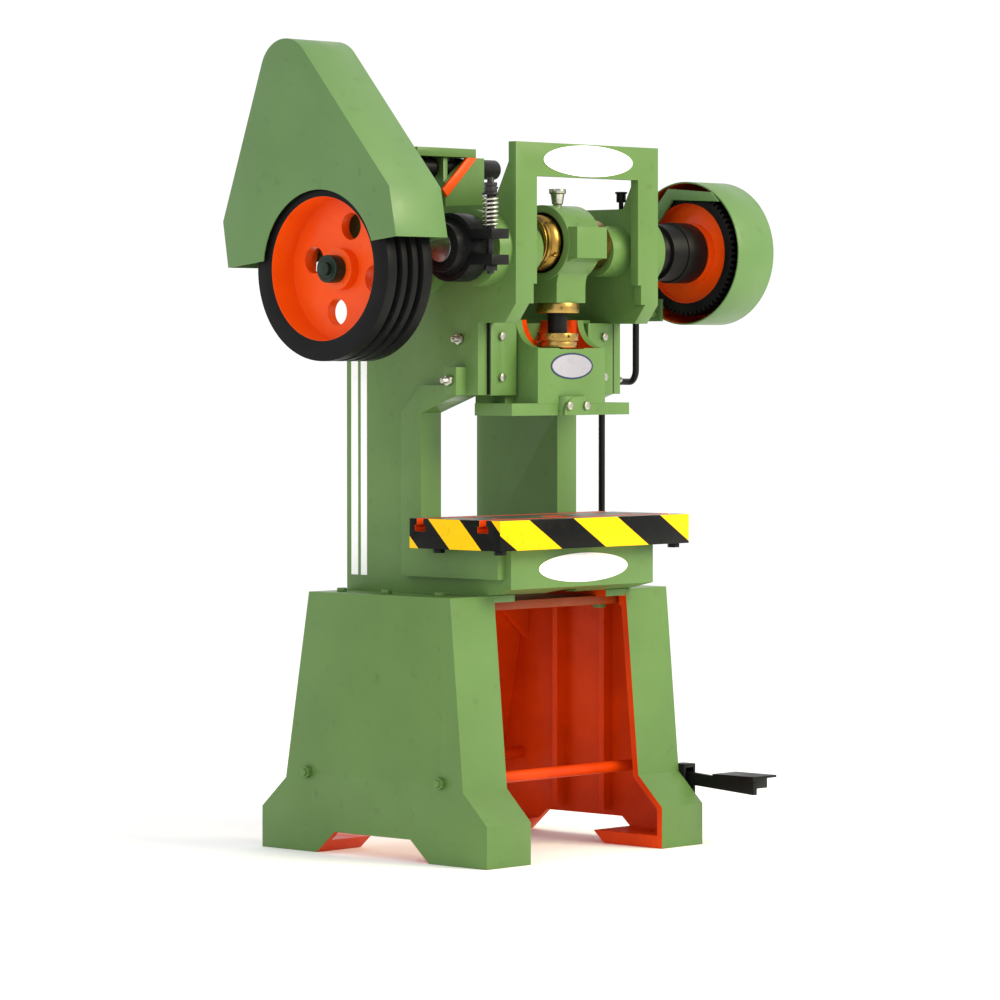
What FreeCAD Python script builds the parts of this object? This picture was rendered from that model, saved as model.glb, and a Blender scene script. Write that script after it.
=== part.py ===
"""Geared open-back stamping press: a parametric FreeCAD document, written out as one STEP per piece.

Frame: X to the right, Y to the back, Z up. The origin is on the floor, in the middle of the four
anchor holes of the stand. All sizes are millimetres.
"""

import FreeCAD, Part

import math
import os
import re

import Sketcher

Vector = FreeCAD.Vector
Rotation = FreeCAD.Rotation

# Driving dimensions: alias, value, what it is.
SIZES = [
    ("stand_half_width", 332, "outside of a leg from the middle"),
    ("stand_height", 540, "top of the stand above the floor"),
    ("leg_flange", 130, "width of the leg's front and back flanges"),
    ("leg_wall", 14, "leg casting wall"),
    ("leg_seat", 192, "how far the leg's top flange reaches inwards"),
    ("leg_top_front", 221, "front of the leg at its top"),
    ("leg_top_back", 183, "back of the leg at its top"),
    ("knee_front", 257, "front of the leg at the knee"),
    ("knee_back", 252, "back of the leg at the knee"),
    ("knee_height", 150, "height of the knee"),
    ("ankle_height", 86, "height where the foot starts"),
    ("foot_half_depth", 323, "front and back of a foot from the middle"),
    ("foot_thick", 26, "thickness of the foot pads"),
    ("foot_length", 162, "length of a foot pad"),
    ("arch_height", 45, "height of the arch between the feet"),
    ("arch_slope", 52, "run of the arch's sloping ends"),
    ("rib_thick", 14, "ribs inside the legs"),
    ("anchor_x", 267, "anchor holes from the middle, across"),
    ("anchor_y", 242, "anchor holes from the middle, fore and aft"),
    ("anchor_radius", 9, "anchor hole radius"),
    ("cross_thick", 18, "plate between the legs"),
    ("tie_radius", 12, "tie rod radius"),
    ("tie_height", 165, "tie rods above the floor"),
    ("tie_front", 196, "front tie rod from the middle"),
    ("tie_back", 186, "rear tie rod from the middle"),
    ("spigot_radius", 7, "threaded ends of the tie rods"),
    ("seat_gap", 0.3, "clearance between pieces that are not a fit"),
    ("run_gap", 0.05, "radial running clearance"),
    ("plate_outer", 218, "outside of the side plates from the middle"),
    ("plate_thick", 40, "side plate thickness"),
    ("flange_proud", 20, "throat flange beyond the side plate"),
    ("column_back", 185, "back of the side plates"),
    ("throat_back", 49, "throat's back wall from the middle, to the front"),
    ("throat_flange", 57, "width of the raised flange along the throat"),
    ("bed_front", 283, "front of the bed"),
    ("bed_top", 636, "top of the bed"),
    ("bed_slab", 34, "bed slab thickness"),
    ("head_bottom", 948, "underside of the head"),
    ("guide_front", 191, "front of the ram guides"),
    ("guide_top", 1096, "top of the ram guides"),
    ("face_bottom", 1134, "underside of the head front"),
    ("face_front", 296, "front of the head"),
    ("face_thick", 20, "head front plate thickness"),
    ("face_top", 1460, "top of the head front"),
    ("bar_height", 68, "height of the bar over the window"),
    ("window_half", 155, "half width of the head window"),
    ("plate_top", 1334, "top edge of the side plates"),
    ("web_thick", 20, "webs that tie the side plates"),
    ("crank_y", -211, "crank axis, fore and aft"),
    ("crank_z", 1246, "crank axis height"),
    ("throw", 14, "crank throw"),
    ("journal_radius", 30, "crank journals"),
    ("pin_radius", 45, "eccentric crank pin"),
    ("boss_radius", 77, "crank bearing bosses outside"),
    ("inner_boss_radius", 53, "crank bearing bosses inside"),
    ("boss_proud_left", 38, "left boss beyond the side plate"),
    ("boss_proud_right", 33, "right boss beyond the side plate"),
    ("inner_boss_end", 115, "inner bosses start here, from the middle"),
    ("bush_wall", 8, "main bearing bush wall"),
    ("tooth_module", 4, "gear module"),
    ("pinion_teeth", 16, "teeth on the pinion"),
    ("gear_teeth", 64, "teeth on the bull gear"),
    ("gear_left", 408, "left face of the bull gear"),
    ("gear_width", 40, "face width of the gears"),
    ("gear_rim", 22, "rim between tooth tips and the web recess"),
    ("gear_web", 14, "gear web thickness"),
    ("gear_hub_radius", 64, "gear hub"),
    ("backlash", 0.7, "tooth thinning at the pitch circle"),
    ("shaft_drop", 44, "countershaft below the crank axis"),
    ("shaft_radius", 20, "countershaft radius"),
    ("shaft_boss_radius", 44, "countershaft bosses"),
    ("shaft_boss_proud", 30, "countershaft bosses beyond the side plates"),
    ("wheel_left", -530, "outer face of the flywheel"),
    ("wheel_width", 126, "flywheel width"),
    ("wheel_radius", 185, "flywheel radius"),
    ("wheel_bore_rim", 144, "inside of the flywheel rim"),
    ("wheel_web", 22, "flywheel web thickness"),
    ("wheel_recess", 62, "web behind the outer face"),
    ("wheel_hub_radius", 42, "flywheel hub"),
    ("wheel_hole_radius", 27, "lightening holes"),
    ("wheel_hole_circle", 88, "circle of the lightening holes"),
    ("groove_depth", 13, "V-belt groove depth"),
    ("groove_width", 16, "V-belt groove width at the rim"),
    ("groove_pitch", 30, "V-belt groove spacing"),
    ("guard_sheet", 3, "guard sheet thickness"),
    ("guard_left", -542, "outer face of the belt guard"),
    ("guard_right", -395, "inner face of the belt guard"),
    ("guard_cutout", 158, "radius of the opening over the flywheel"),
    ("drum_radius", 152, "gear guard radius"),
    ("drum_left", 400, "open side of the gear guard"),
    ("drum_right", 515, "closed side of the gear guard"),
    ("bolster_half", 290, "half width of the bolster"),
    ("bolster_front", 320, "front of the bolster"),
    ("bolster_back", 67, "back of the bolster, from the middle"),
    ("bolster_thick", 61, "bolster thickness"),
    ("slot_front", 272, "front T-slot"),
    ("slot_back", 97, "rear T-slot"),
    ("slot_width", 18, "T-slot mouth"),
    ("slot_head", 30, "T-slot undercut width"),
    ("slot_depth", 26, "T-slot depth"),
    ("die_hole", 33, "blank hole in the bolster"),
    ("strap_left", -50, "left face of the connecting rod strap"),
    ("strap_right", 48, "right face of the connecting rod strap"),
    ("strap_radius", 73, "connecting rod strap"),
    ("sleeve_radius", 53, "eccentric sleeve inside the strap"),
    ("shank_half", 44, "half width of the connecting rod shank"),
    ("shank_front", 249, "front of the shank"),
    ("shank_bottom", 1137, "bottom of the shank"),
    ("screw_radius", 20.5, "ball screw"),
    ("ball_radius", 17, "ball of the ball screw"),
    ("ball_z", 1010, "centre of the ball"),
    ("lock_ring_radius", 45, "lock ring on the ball screw"),
    ("lock_ring_thick", 21, "lock ring thickness"),
    ("collar_radius", 35, "lower ring on the ball screw"),
    ("collar_thick", 29, "lower ring thickness"),
    ("ram_half", 103, "half width of the ram"),
    ("ram_front", 251, "front of the ram"),
    ("ram_bottom", 931, "bottom of the ram body"),
    ("ram_cheek", 1042, "bottom of the hollow between the ram's horns"),
    ("ram_top", 1102, "top of the ram's horns"),
    ("tongue_half", 130, "half width of the ram's guided tongue"),
    ("tongue_front", 185, "front of the tongue"),
    ("tongue_back", 101, "back of the tongue"),
    ("foot_half", 180, "half width of the ram foot"),
    ("foot_back", 146, "back of the ram foot"),
    ("foot_drop", 25, "ram foot thickness"),
    ("tool_radius", 12.7, "tool shank bore"),
    ("clamp_height", 39, "height of the shank clamp"),
    ("clamp_half", 39, "half width of the shank clamp"),
    ("clamp_front", 264, "front of the shank clamp"),
    ("gib_wall", 12, "gib strip thickness"),
    ("cover_inner", 110, "inner edge of the gib covers"),
    ("cover_outer", 187, "outer edge of the gib covers"),
    ("cover_thick", 13, "gib cover thickness"),
    ("brake_left", -325, "left face of the brake shoes"),
    ("brake_width", 50, "brake shoe width"),
    ("brake_drum_radius", 56, "brake drum radius"),
    ("brake_outer", 69, "outside of the brake shoes"),
    ("brake_gap", 16, "half gap between the shoe ears"),
    ("brake_stud_y", -303, "brake stud, fore and aft"),
    ("brake_ear_tip", 330, "front of the shoe ears"),
    ("ear_thick", 20, "shoe ear thickness"),
    ("stud_radius", 7, "brake stud"),
    ("spring_coil", 14, "spring coil radius"),
    ("spring_wire", 2.4, "spring wire radius"),
    ("spring_length", 68, "spring length"),
    ("spring_pitch", 8.5, "spring pitch"),
    ("platform_left", -218, "left end of the motor platform"),
    ("platform_right", -42, "right end of the motor platform"),
    ("platform_front", -20, "front of the motor platform"),
    ("platform_back", 170, "back of the motor platform"),
    ("platform_z", 1440, "underside of the motor platform"),
    ("platform_thick", 18, "motor platform thickness"),
    ("motor_x", 100, "motor slots along the shaft"),
    ("motor_y", 125, "motor slots across the shaft"),
    ("motor_slot", 24, "motor slot length"),
    ("motor_slot_radius", 5, "motor slot half width"),
    ("bar_radius", 20.7, "platform hinge bar"),
    ("lever_left", 345, "left face of the treadle lever"),
    ("lever_thick", 12, "treadle lever thickness"),
    ("lever_depth", 26, "treadle lever depth"),
    ("lever_z", 123, "treadle lever height at the pedal"),
    ("lever_front", 451, "front end of the treadle lever"),
    ("pedal_width", 76, "pedal plate width"),
    ("pedal_length", 112, "pedal plate length"),
    ("pedal_thick", 5, "pedal plate thickness"),
    ("rod_radius", 7, "pull rod"),
    ("rod_low_y", -21, "pull rod on the lever"),
    ("rod_high_x", 309, "upper stretch of the pull rod"),
    ("rod_high_y", -155, "upper stretch of the pull rod"),
    ("rod_bend_z", 973, "height of the rod's cranked stretch"),
    ("rod_top", 1150, "top of the pull rod"),
    ("rod_bend", 26, "bend radius of the pull rod"),
    ("trip_arm", 65, "trip lever from its pivot to the pull rod"),
]

doc = FreeCAD.newDocument("StampingPress")
sheet = doc.addObject("Spreadsheet::Sheet", "Sizes")
for row, (alias, value, meaning) in enumerate(SIZES, start=1):
    sheet.set(f"A{row}", alias)
    sheet.set(f"B{row}", str(value))
    sheet.set(f"C{row}", meaning)
    sheet.setAlias(f"B{row}", alias)
doc.recompute()

ALIASES = {alias for alias, _, _ in SIZES}
AIMS = {
    "+X": Rotation(Vector(0, 1, 0), 90),
    "-X": Rotation(Vector(0, 1, 0), -90),
    "+Y": Rotation(Vector(1, 0, 0), -90),
    "-Y": Rotation(Vector(1, 0, 0), 90),
    "+Z": Rotation(),
    "-Z": Rotation(Vector(1, 0, 0), 180),
}
SIDES = {"left": -1, "right": 1}
pieces = []


# ---------------------------------------------------------------- document helpers


def cell_name(word):
    """A word of a formula, pointed at the sheet where it is an alias."""
    text = word.group()
    return f"Sizes.{text}" if text in ALIASES else text


def formula(text):
    """A formula in plain aliases, with each alias pointed at the sheet."""
    return re.sub(r"[a-z_]+", cell_name, str(text))


def number(text):
    """The present value of a formula."""
    return float(sheet.evalExpression(formula(text)))


def bind(thing, **properties):
    """Bind properties to formulas."""
    for name, text in properties.items():
        thing.setExpression(name, formula(text))


def place(thing, x="0", y="0", z="0", aim="+Z"):
    """Turn a thing to an aim and bind its place."""
    thing.Placement = FreeCAD.Placement(Vector(), AIMS[aim])
    for axis, text in zip("xyz", (x, y, z)):
        thing.setExpression(f"Placement.Base.{axis}", formula(text))
    return thing


def piece(thing):
    """Keep a finished thing as a sub-part that is written out."""
    pieces.append(thing)
    return thing


def box(name, x, y, z):
    """A box from pairs of formulas, low and high."""
    block = doc.addObject("Part::Box", name)
    bind(block, Length=f"({x[1]}) - ({x[0]})", Width=f"({y[1]}) - ({y[0]})", Height=f"({z[1]}) - ({z[0]})")
    return place(block, x[0], y[0], z[0])


def cylinder(name, aim, x, y, z, radius, length):
    """A cylinder that starts at a point and runs along an aim."""
    round_bar = doc.addObject("Part::Cylinder", name)
    bind(round_bar, Radius=radius, Height=length)
    return place(round_bar, x, y, z, aim)


def hexagon(name, aim, x, y, z, across, length):
    """A hexagonal bar, by its size across flats."""
    bar = doc.addObject("Part::Prism", name)
    bar.Polygon = 6
    bind(bar, Circumradius=f"({across}) / 2 / cos(30)", Height=length)
    return place(bar, x, y, z, aim)


def fuse(name, *things):
    """Several things in one solid."""
    joined = doc.addObject("Part::MultiFuse", name)
    joined.Shapes = list(things)
    joined.Refine = True
    return joined


def group(name, *things):
    """Several separate solids in one piece."""
    several = doc.addObject("Part::Compound", name)
    several.Links = list(things)
    return several


def cut(name, base, *tools):
    """A thing with others taken out of it."""
    remaining = doc.addObject("Part::Cut", name)
    remaining.Base = base
    remaining.Tool = tools[0] if len(tools) == 1 else fuse(f"{name}_tools", *tools)
    remaining.Refine = True
    return remaining


def common(name, first, second):
    """What two things share."""
    shared = doc.addObject("Part::Common", name)
    shared.Base = first
    shared.Tool = second
    return shared


def mirrored(name, thing):
    """The same thing on the other side of X = 0."""
    twin = doc.addObject("Part::Mirroring", name)
    twin.Source = thing
    twin.Normal = Vector(1, 0, 0)
    return twin


def outline_sketch(body, plane, points):
    """A closed outline on one of the body's own planes, each corner bound to two formulas."""
    sketch = body.newObject("Sketcher::SketchObject", f"{body.Name}_sketch")
    base_plane = next(item for item in body.Origin.OriginFeatures if item.Role == f"{plane}_Plane")
    sketch.AttachmentSupport = [(base_plane, "")]
    sketch.MapMode = "FlatFace"
    corners = [Vector(number(across), number(up), 0) for across, up in points]
    count = len(corners)
    for index, corner in enumerate(corners):
        sketch.addGeometry(Part.LineSegment(corner, corners[(index + 1) % count]), False)
    for index in range(count):
        sketch.addConstraint(Sketcher.Constraint("Coincident", index, 2, (index + 1) % count, 1))
    for index, (across, up) in enumerate(points):
        for kind, text in (("DistanceX", across), ("DistanceY", up)):
            limit = sketch.addConstraint(Sketcher.Constraint(kind, -1, 1, index, 1, number(text)))
            sketch.setExpression(f"Constraints[{limit}]", formula(text))
    return sketch


def prism(name, plane, points, low, high):
    """A padded outline between two places along the plane's normal axis."""
    body = doc.addObject("PartDesign::Body", name)
    pad = body.newObject("PartDesign::Pad", f"{name}_pad")
    pad.Profile = outline_sketch(body, plane, points)
    bind(pad, Length=f"({high}) - ({low})")
    spots = {"YZ": {"x": low}, "XY": {"z": low}, "XZ": {"y": high}}
    return place(body, **spots[plane])


def turned(name, profile, y, z):
    """A body turned about an axis along X; the profile is (place along X, radius)."""
    body = doc.addObject("PartDesign::Body", name)
    turn = body.newObject("PartDesign::Revolution", f"{name}_turn")
    sketch = outline_sketch(body, "XY", profile)
    turn.Profile = sketch
    turn.ReferenceAxis = (sketch, ["H_Axis"])
    turn.Angle = 360
    return place(body, "0", y, z)


def stepped(steps, bore="0"):
    """The profile of a stepped shaft or ring from (start, end, radius) steps, left to right."""
    profile = [(steps[0][0], bore)]
    for start, end, radius in steps:
        profile.append((start, radius))
        profile.append((end, radius))
    profile.append((steps[-1][1], bore))
    return profile


def hex_bolt(name, aim, x, y, z, across, head, radius, length):
    """A hex bolt whose head starts at a point and points along the aim, with its shank behind."""
    behind = aim.replace("+", "-") if "+" in aim else aim.replace("-", "+")
    top = hexagon(f"{name}_head", aim, x, y, z, across, head)
    shank = cylinder(f"{name}_shank", behind, x, y, z, radius, length)
    return fuse(name, top, shank)


def hollow(name, aim, x, y, z, outer, inner, length):
    """A plain ring."""
    outside = cylinder(f"{name}_outside", aim, x, y, z, outer, length)
    inside = cylinder(f"{name}_inside", aim, x, y, z, inner, length)
    return cut(name, outside, inside)


def rounded(name, base, picker, radius):
    """A solid with the edges that the picker chooses rounded."""
    doc.recompute()
    size = number(radius)
    edges = [(index, size, size) for index, edge in enumerate(base.Shape.Edges, start=1) if picker(edge, base.Shape)]
    soft = doc.addObject("Part::Fillet", name)
    soft.Base = base
    soft.Edges = edges
    return soft


def runs_along(edge, axis):
    """Whether an edge is a straight line along an axis."""
    ends = edge.Vertexes
    return len(ends) == 2 and abs(abs((ends[1].Point - ends[0].Point).normalize().dot(axis)) - 1) < 1e-6


def upright_front_edges(edge, shape):
    """The upright edges at the front of a solid."""
    return runs_along(edge, Vector(0, 0, 1)) and abs(edge.CenterOfMass.y - shape.BoundBox.YMin) < 0.01


# ---------------------------------------------------------------- stand


def leg_point(height):
    """Front and back of the leg at a height between the knee and the top, as formulas."""
    share = f"(({height}) - knee_height) / (stand_height - knee_height)"
    front = f"-(knee_front + (leg_top_front - knee_front) * {share})"
    back = f"knee_back + (leg_top_back - knee_back) * {share}"
    return front, back


def make_legs():
    """The leg castings: outer panel, turned-in flanges, foot pads, ribs and corner gussets."""
    name = "leg_right"
    outline = [
        ("-foot_half_depth", "0"),
        ("-foot_half_depth", "ankle_height"),
        ("-knee_front", "knee_height"),
        ("-leg_top_front", "stand_height"),
        ("leg_top_back", "stand_height"),
        ("knee_back", "knee_height"),
        ("foot_half_depth", "ankle_height"),
        ("foot_half_depth", "0"),
        ("foot_half_depth - foot_length", "0"),
        ("foot_half_depth - foot_length - arch_slope", "arch_height"),
        ("foot_length + arch_slope - foot_half_depth", "arch_height"),
        ("foot_length - foot_half_depth", "0"),
    ]
    inner = [
        ("leg_wall - foot_half_depth", "foot_thick"),
        ("leg_wall - foot_half_depth", "ankle_height - leg_wall / 3"),
        ("leg_wall - knee_front", "knee_height - leg_wall / 3"),
        ("leg_wall - leg_top_front", "stand_height - leg_wall"),
        ("leg_top_back - leg_wall", "stand_height - leg_wall"),
        ("knee_back - leg_wall", "knee_height - leg_wall / 3"),
        ("foot_half_depth - leg_wall", "ankle_height - leg_wall / 3"),
        ("foot_half_depth - leg_wall", "foot_thick"),
    ]
    inside = "stand_half_width - leg_flange"
    shell = prism(f"{name}_shell", "YZ", outline, inside, "stand_half_width")
    room = prism(f"{name}_room", "YZ", inner, f"{inside} - 1", "stand_half_width - leg_wall")
    cup = cut(f"{name}_cup", shell, room)
    seat = box(f"{name}_seat", ("stand_half_width - leg_seat", "stand_half_width - leg_wall / 2"),
               ("-leg_top_front", "leg_top_back"), ("stand_height - leg_wall", "stand_height"))
    solids = [cup, seat]
    for index, spot in enumerate(("-75", "60")):
        solids.append(box(f"{name}_rib_{index}", ("stand_half_width - leg_wall * 3", "stand_half_width - leg_wall / 2"),
                          (f"{spot} - rib_thick / 2", f"{spot} + rib_thick / 2"),
                          ("arch_height + 12", "stand_height - leg_wall / 2")))
    gusset = [
        ("stand_half_width - leg_wall / 2", "stand_height - leg_wall / 2"),
        ("stand_half_width - leg_wall / 2", "stand_height - leg_flange"),
        ("stand_half_width - leg_flange", "stand_height - cross_thick - leg_wall"),
        ("stand_half_width - leg_flange", "stand_height - leg_wall / 2"),
    ]
    for index, low in enumerate(("-leg_top_front + leg_wall * 0.4", "leg_top_back - leg_wall * 1.4")):
        solids.append(prism(f"{name}_gusset_{index}", "XZ", gusset, low, f"{low} + leg_wall"))
    holes = anchor_holes(name) + stand_bolt_holes(name) + tie_holes(name) + frame_bolt_holes(name)
    right = piece(cut(name, fuse(f"{name}_body", *solids), *holes))
    piece(mirrored("leg_left", right))


def anchor_holes(name):
    """Holes for the floor bolts in one leg's feet."""
    return [cylinder(f"{name}_anchor_{index}", "+Z", "anchor_x", f"{sign}anchor_y", "-1", "anchor_radius",
                     "foot_thick + 2") for index, sign in enumerate("-+")]


STAND_BOLTS = ("-150", "0", "130")
FRAME_BOLTS = ("-150", "120")


def stand_bolt_holes(name):
    """Holes for the bolts that hold the leg to the cross plate."""
    return [cylinder(f"{name}_stand_hole_{index}", "+Z", "stand_half_width - 44", spot,
                     "stand_height - leg_wall - cross_thick - 1", "6 + run_gap", "leg_wall + cross_thick + 2")
            for index, spot in enumerate(STAND_BOLTS)]


def frame_bolt_holes(name):
    """Holes for the bolts that hold the C-frame down."""
    return [cylinder(f"{name}_frame_hole_{index}", "+Z", "plate_outer - plate_thick / 2", spot,
                     "stand_height - leg_wall - cross_thick - 1", "8 + run_gap", "leg_wall + cross_thick + 32")
            for index, spot in enumerate(FRAME_BOLTS)]


def tie_holes(name):
    """Holes for the threaded ends of the tie rods."""
    return [cylinder(f"{name}_tie_hole_{index}", "+X", "stand_half_width - leg_wall - 1", spot, "tie_height",
                     "spigot_radius + run_gap", "leg_wall + 2") for index, spot in enumerate(("-tie_front", "tie_back"))]


def make_cross_plate():
    """The plate between the legs that carries the frame's base."""
    low = "stand_height - leg_wall - cross_thick"
    front, back = leg_point(low)
    half = "stand_half_width - leg_wall - seat_gap"
    plate = box("cross_plate_blank", (f"-({half})", half), (f"{front} + leg_wall * 2.2", f"{back} - leg_wall * 2.2"),
                (low, "stand_height - leg_wall"))
    holes = []
    for side in SIDES:
        drilled = stand_bolt_holes(f"cross_{side}") + frame_bolt_holes(f"cross_{side}")
        ribs = [box(f"cross_rib_room_{side}_{index}",
                    ("stand_half_width - leg_wall * 3 - seat_gap", "stand_half_width"),
                    (f"{spot} - rib_thick / 2 - seat_gap", f"{spot} + rib_thick / 2 + seat_gap"),
                    (f"{low} - 1", "stand_height")) for index, spot in enumerate(("-75", "60"))]
        tools = fuse(f"cross_tools_{side}", *drilled, *ribs)
        holes.append(tools if side == "right" else mirrored("cross_tools_mirrored", tools))
    return piece(cut("cross_plate", plate, *holes))


def make_stand_bolts():
    """Bolts on the stand's top ledges, and the frame's bolts from underneath, as one group."""
    bolts = []
    for index, spot in enumerate(STAND_BOLTS):
        bolt = hex_bolt(f"ledge_bolt_{index}", "+Z", "stand_half_width - 44", spot, "stand_height", "19", "8", "6",
                        "leg_wall + cross_thick")
        bolts.extend((bolt, mirrored(f"ledge_bolt_left_{index}", bolt)))
    for index, spot in enumerate(FRAME_BOLTS):
        bolt = hex_bolt(f"base_bolt_{index}", "-Z", "plate_outer - plate_thick / 2", spot,
                        "stand_height - leg_wall - cross_thick", "24", "10", "8", "leg_wall + cross_thick + 30")
        bolts.extend((bolt, mirrored(f"base_bolt_left_{index}", bolt)))
    piece(group("stand_bolts", *bolts))


def tie_nut(name, side_face, spot, thick):
    """A hex nut on the threaded end of a tie rod."""
    blank = hexagon(f"{name}_blank", "+X", side_face, spot, "tie_height", "22", thick)
    bore = cylinder(f"{name}_bore", "+X", f"{side_face} - 1", spot, "tie_height", "spigot_radius + run_gap", "13")
    return cut(name, blank, bore)


def make_tie_rods():
    """Two tie rods with shouldered ends; the rear one carries the treadle lever."""
    inside = "stand_half_width - leg_wall"
    rods = []
    nuts = [tie_nut("treadle_nut", "lever_left + lever_thick + 2.5", "tie_back", "10.5")]
    for name, spot, reach in (("front", "-tie_front", "16"), ("rear", "tie_back", "43")):
        bar = cylinder(f"tie_bar_{name}", "+X", f"-({inside})", spot, "tie_height", "tie_radius", f"2 * ({inside})")
        end = cylinder(f"tie_end_{name}", "+X", "-stand_half_width - 16", spot, "tie_height", "spigot_radius",
                       f"2 * stand_half_width + 16 + {reach}")
        rods.append(fuse(f"tie_rod_{name}", bar, end))
        right = tie_nut(f"tie_nut_{name}", "stand_half_width", spot, "11")
        nuts.extend((right, mirrored(f"tie_nut_{name}_left", right)))
    piece(group("tie_rods", *rods))
    piece(group("tie_rod_nuts", *nuts))


# ---------------------------------------------------------------- C-frame


def crank_cylinder(name, low, high, radius):
    """A cylinder about the crank axis."""
    return cylinder(name, "+X", low, "crank_y", "crank_z", radius, f"({high}) - ({low})")


SHAFT_Y = "crank_y + sqrt((tooth_module * (pinion_teeth + gear_teeth) / 2)^2 - shaft_drop^2)"
SHAFT_Z = "crank_z - shaft_drop"


def shaft_cylinder(name, low, high, radius):
    """A cylinder about the countershaft's axis."""
    return cylinder(name, "+X", low, SHAFT_Y, SHAFT_Z, radius, f"({high}) - ({low})")


def make_side_plate():
    """The right side plate with its raised throat flange."""
    outline = [
        ("-leg_top_front + 5", "stand_height"),
        ("-bed_front", "stand_height + 15"),
        ("-bed_front", "bed_top"),
        ("-throat_back", "bed_top"),
        ("-throat_back", "head_bottom - 37"),
        ("37 - guide_front", "head_bottom"),
        ("-guide_front", "head_bottom"),
        ("-guide_front", "guide_top - 1"),
        ("30 - face_front", "guide_top - 1"),
        ("-face_front", "face_bottom"),
        ("-face_front", "face_top"),
        ("63 - face_front", "plate_top"),
        ("column_back", "plate_top"),
        ("column_back", "stand_height"),
    ]
    flange = [
        ("18 - bed_front", "stand_height + 35"),
        ("18 - bed_front", "bed_top"),
        ("-throat_back", "bed_top"),
        ("-throat_back", "head_bottom - 37"),
        ("37 - guide_front", "head_bottom"),
        ("37 - guide_front", "head_bottom + 20"),
        ("-throat_back", "head_bottom + 20"),
        ("throat_flange - throat_back", "head_bottom - 37"),
        ("throat_flange - throat_back", "stand_height + 35"),
    ]
    plate = prism("side_plate", "YZ", outline, "plate_outer - plate_thick", "plate_outer")
    band = prism("throat_band", "YZ", flange, "plate_outer - plate_thick / 2", "plate_outer + flange_proud")
    lug = box("gib_lug", ("plate_outer - 2", "plate_outer + 32"), ("-160", "-126"),
              ("head_bottom", "head_bottom + 57"))
    seat = box("cover_seat", ("plate_outer - plate_thick - 1", "cover_outer + 3.3"),
               ("-tongue_front - cover_thick - 1", "-tongue_front"), ("head_bottom - 8", "guide_top + 1"))
    return cut("side_plate_right", fuse("side_plate_blank", plate, band, lug), seat)


def make_head_front():
    """The head's front plate, with its window."""
    outline = [
        ("-plate_outer", "face_bottom"),
        ("-window_half - 10", "face_bottom"),
        ("-window_half - 10", "face_bottom + 40"),
        ("-window_half", "face_bottom + 40"),
        ("-window_half", "face_top - bar_height"),
        ("window_half", "face_top - bar_height"),
        ("window_half", "face_bottom + 40"),
        ("window_half + 10", "face_bottom + 40"),
        ("window_half + 10", "face_bottom"),
        ("plate_outer", "face_bottom"),
        ("plate_outer", "face_top"),
        ("-plate_outer", "face_top"),
    ]
    return prism("head_front", "XZ", outline, "-face_front", "face_thick - face_front")


def make_bed():
    """The bed: a front wall under a slab, between the side plates."""
    outline = [
        ("-leg_top_front + 5", "stand_height"),
        ("-bed_front", "stand_height + 15"),
        ("-bed_front", "bed_top"),
        ("-throat_back", "bed_top"),
        ("-throat_back", "bed_top - bed_slab"),
        ("22 - bed_front", "bed_top - bed_slab"),
        ("22 - bed_front", "stand_height + 26"),
        ("24 - leg_top_front", "stand_height"),
    ]
    half = "plate_outer - plate_thick / 2"
    slab = prism("bed_section", "YZ", outline, f"-({half})", half)
    hole = cylinder("bed_hole", "+Z", "0", "crank_y", "stand_height", "die_hole + 8", "bed_top")
    return cut("bed", slab, hole)


def make_guides():
    """Guide blocks for the ram, the wall behind it and the webs that tie the side plates."""
    half = "plate_outer - plate_thick / 2"
    face = "tongue_half + seat_gap * 2 + gib_wall"
    block = box("guide_block", (face, half), ("-tongue_front", "-tongue_back"), ("head_bottom", "guide_top"))
    wall = box("guide_wall", (f"-({half})", half), ("seat_gap - tongue_back", "web_thick + 10 - tongue_back"),
               ("head_bottom", "guide_top"))
    fill = box("guide_fill", (face, half), ("-tongue_back - 1", "1 + seat_gap - tongue_back"),
               ("head_bottom", "guide_top"))
    right = fuse("guide_right", block, fill)
    rear = box("rear_web", (f"-({half})", half), ("column_back - web_thick", "column_back"),
               ("head_bottom + 90", "plate_top"))
    deck = box("deck_web", (f"-({half})", half), ("platform_front - 25", "column_back"),
               ("plate_top - web_thick", "plate_top"))
    foot = box("base_web", (f"-({half})", half), ("column_back - web_thick", "column_back"),
               ("stand_height", "stand_height + 70"))
    return [right, mirrored("guide_left", right), wall, rear, deck, foot]


def make_bosses():
    """Bearing bosses of the crankshaft and the countershaft."""
    inside = "plate_outer - plate_thick / 2"
    return [
        crank_cylinder("boss_left", "-plate_outer - boss_proud_left", f"-({inside})", "boss_radius"),
        crank_cylinder("boss_right", inside, "plate_outer + boss_proud_right", "boss_radius"),
        crank_cylinder("inner_boss_left", "-plate_outer + 10", "-inner_boss_end + 15", "inner_boss_radius"),
        crank_cylinder("inner_boss_right", "inner_boss_end", "plate_outer - 10", "inner_boss_radius"),
        shaft_cylinder("shaft_boss_left", "-plate_outer - shaft_boss_proud", f"-({inside})", "shaft_boss_radius"),
        shaft_cylinder("shaft_boss_right", inside, "plate_outer + shaft_boss_proud", "shaft_boss_radius"),
    ]


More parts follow.
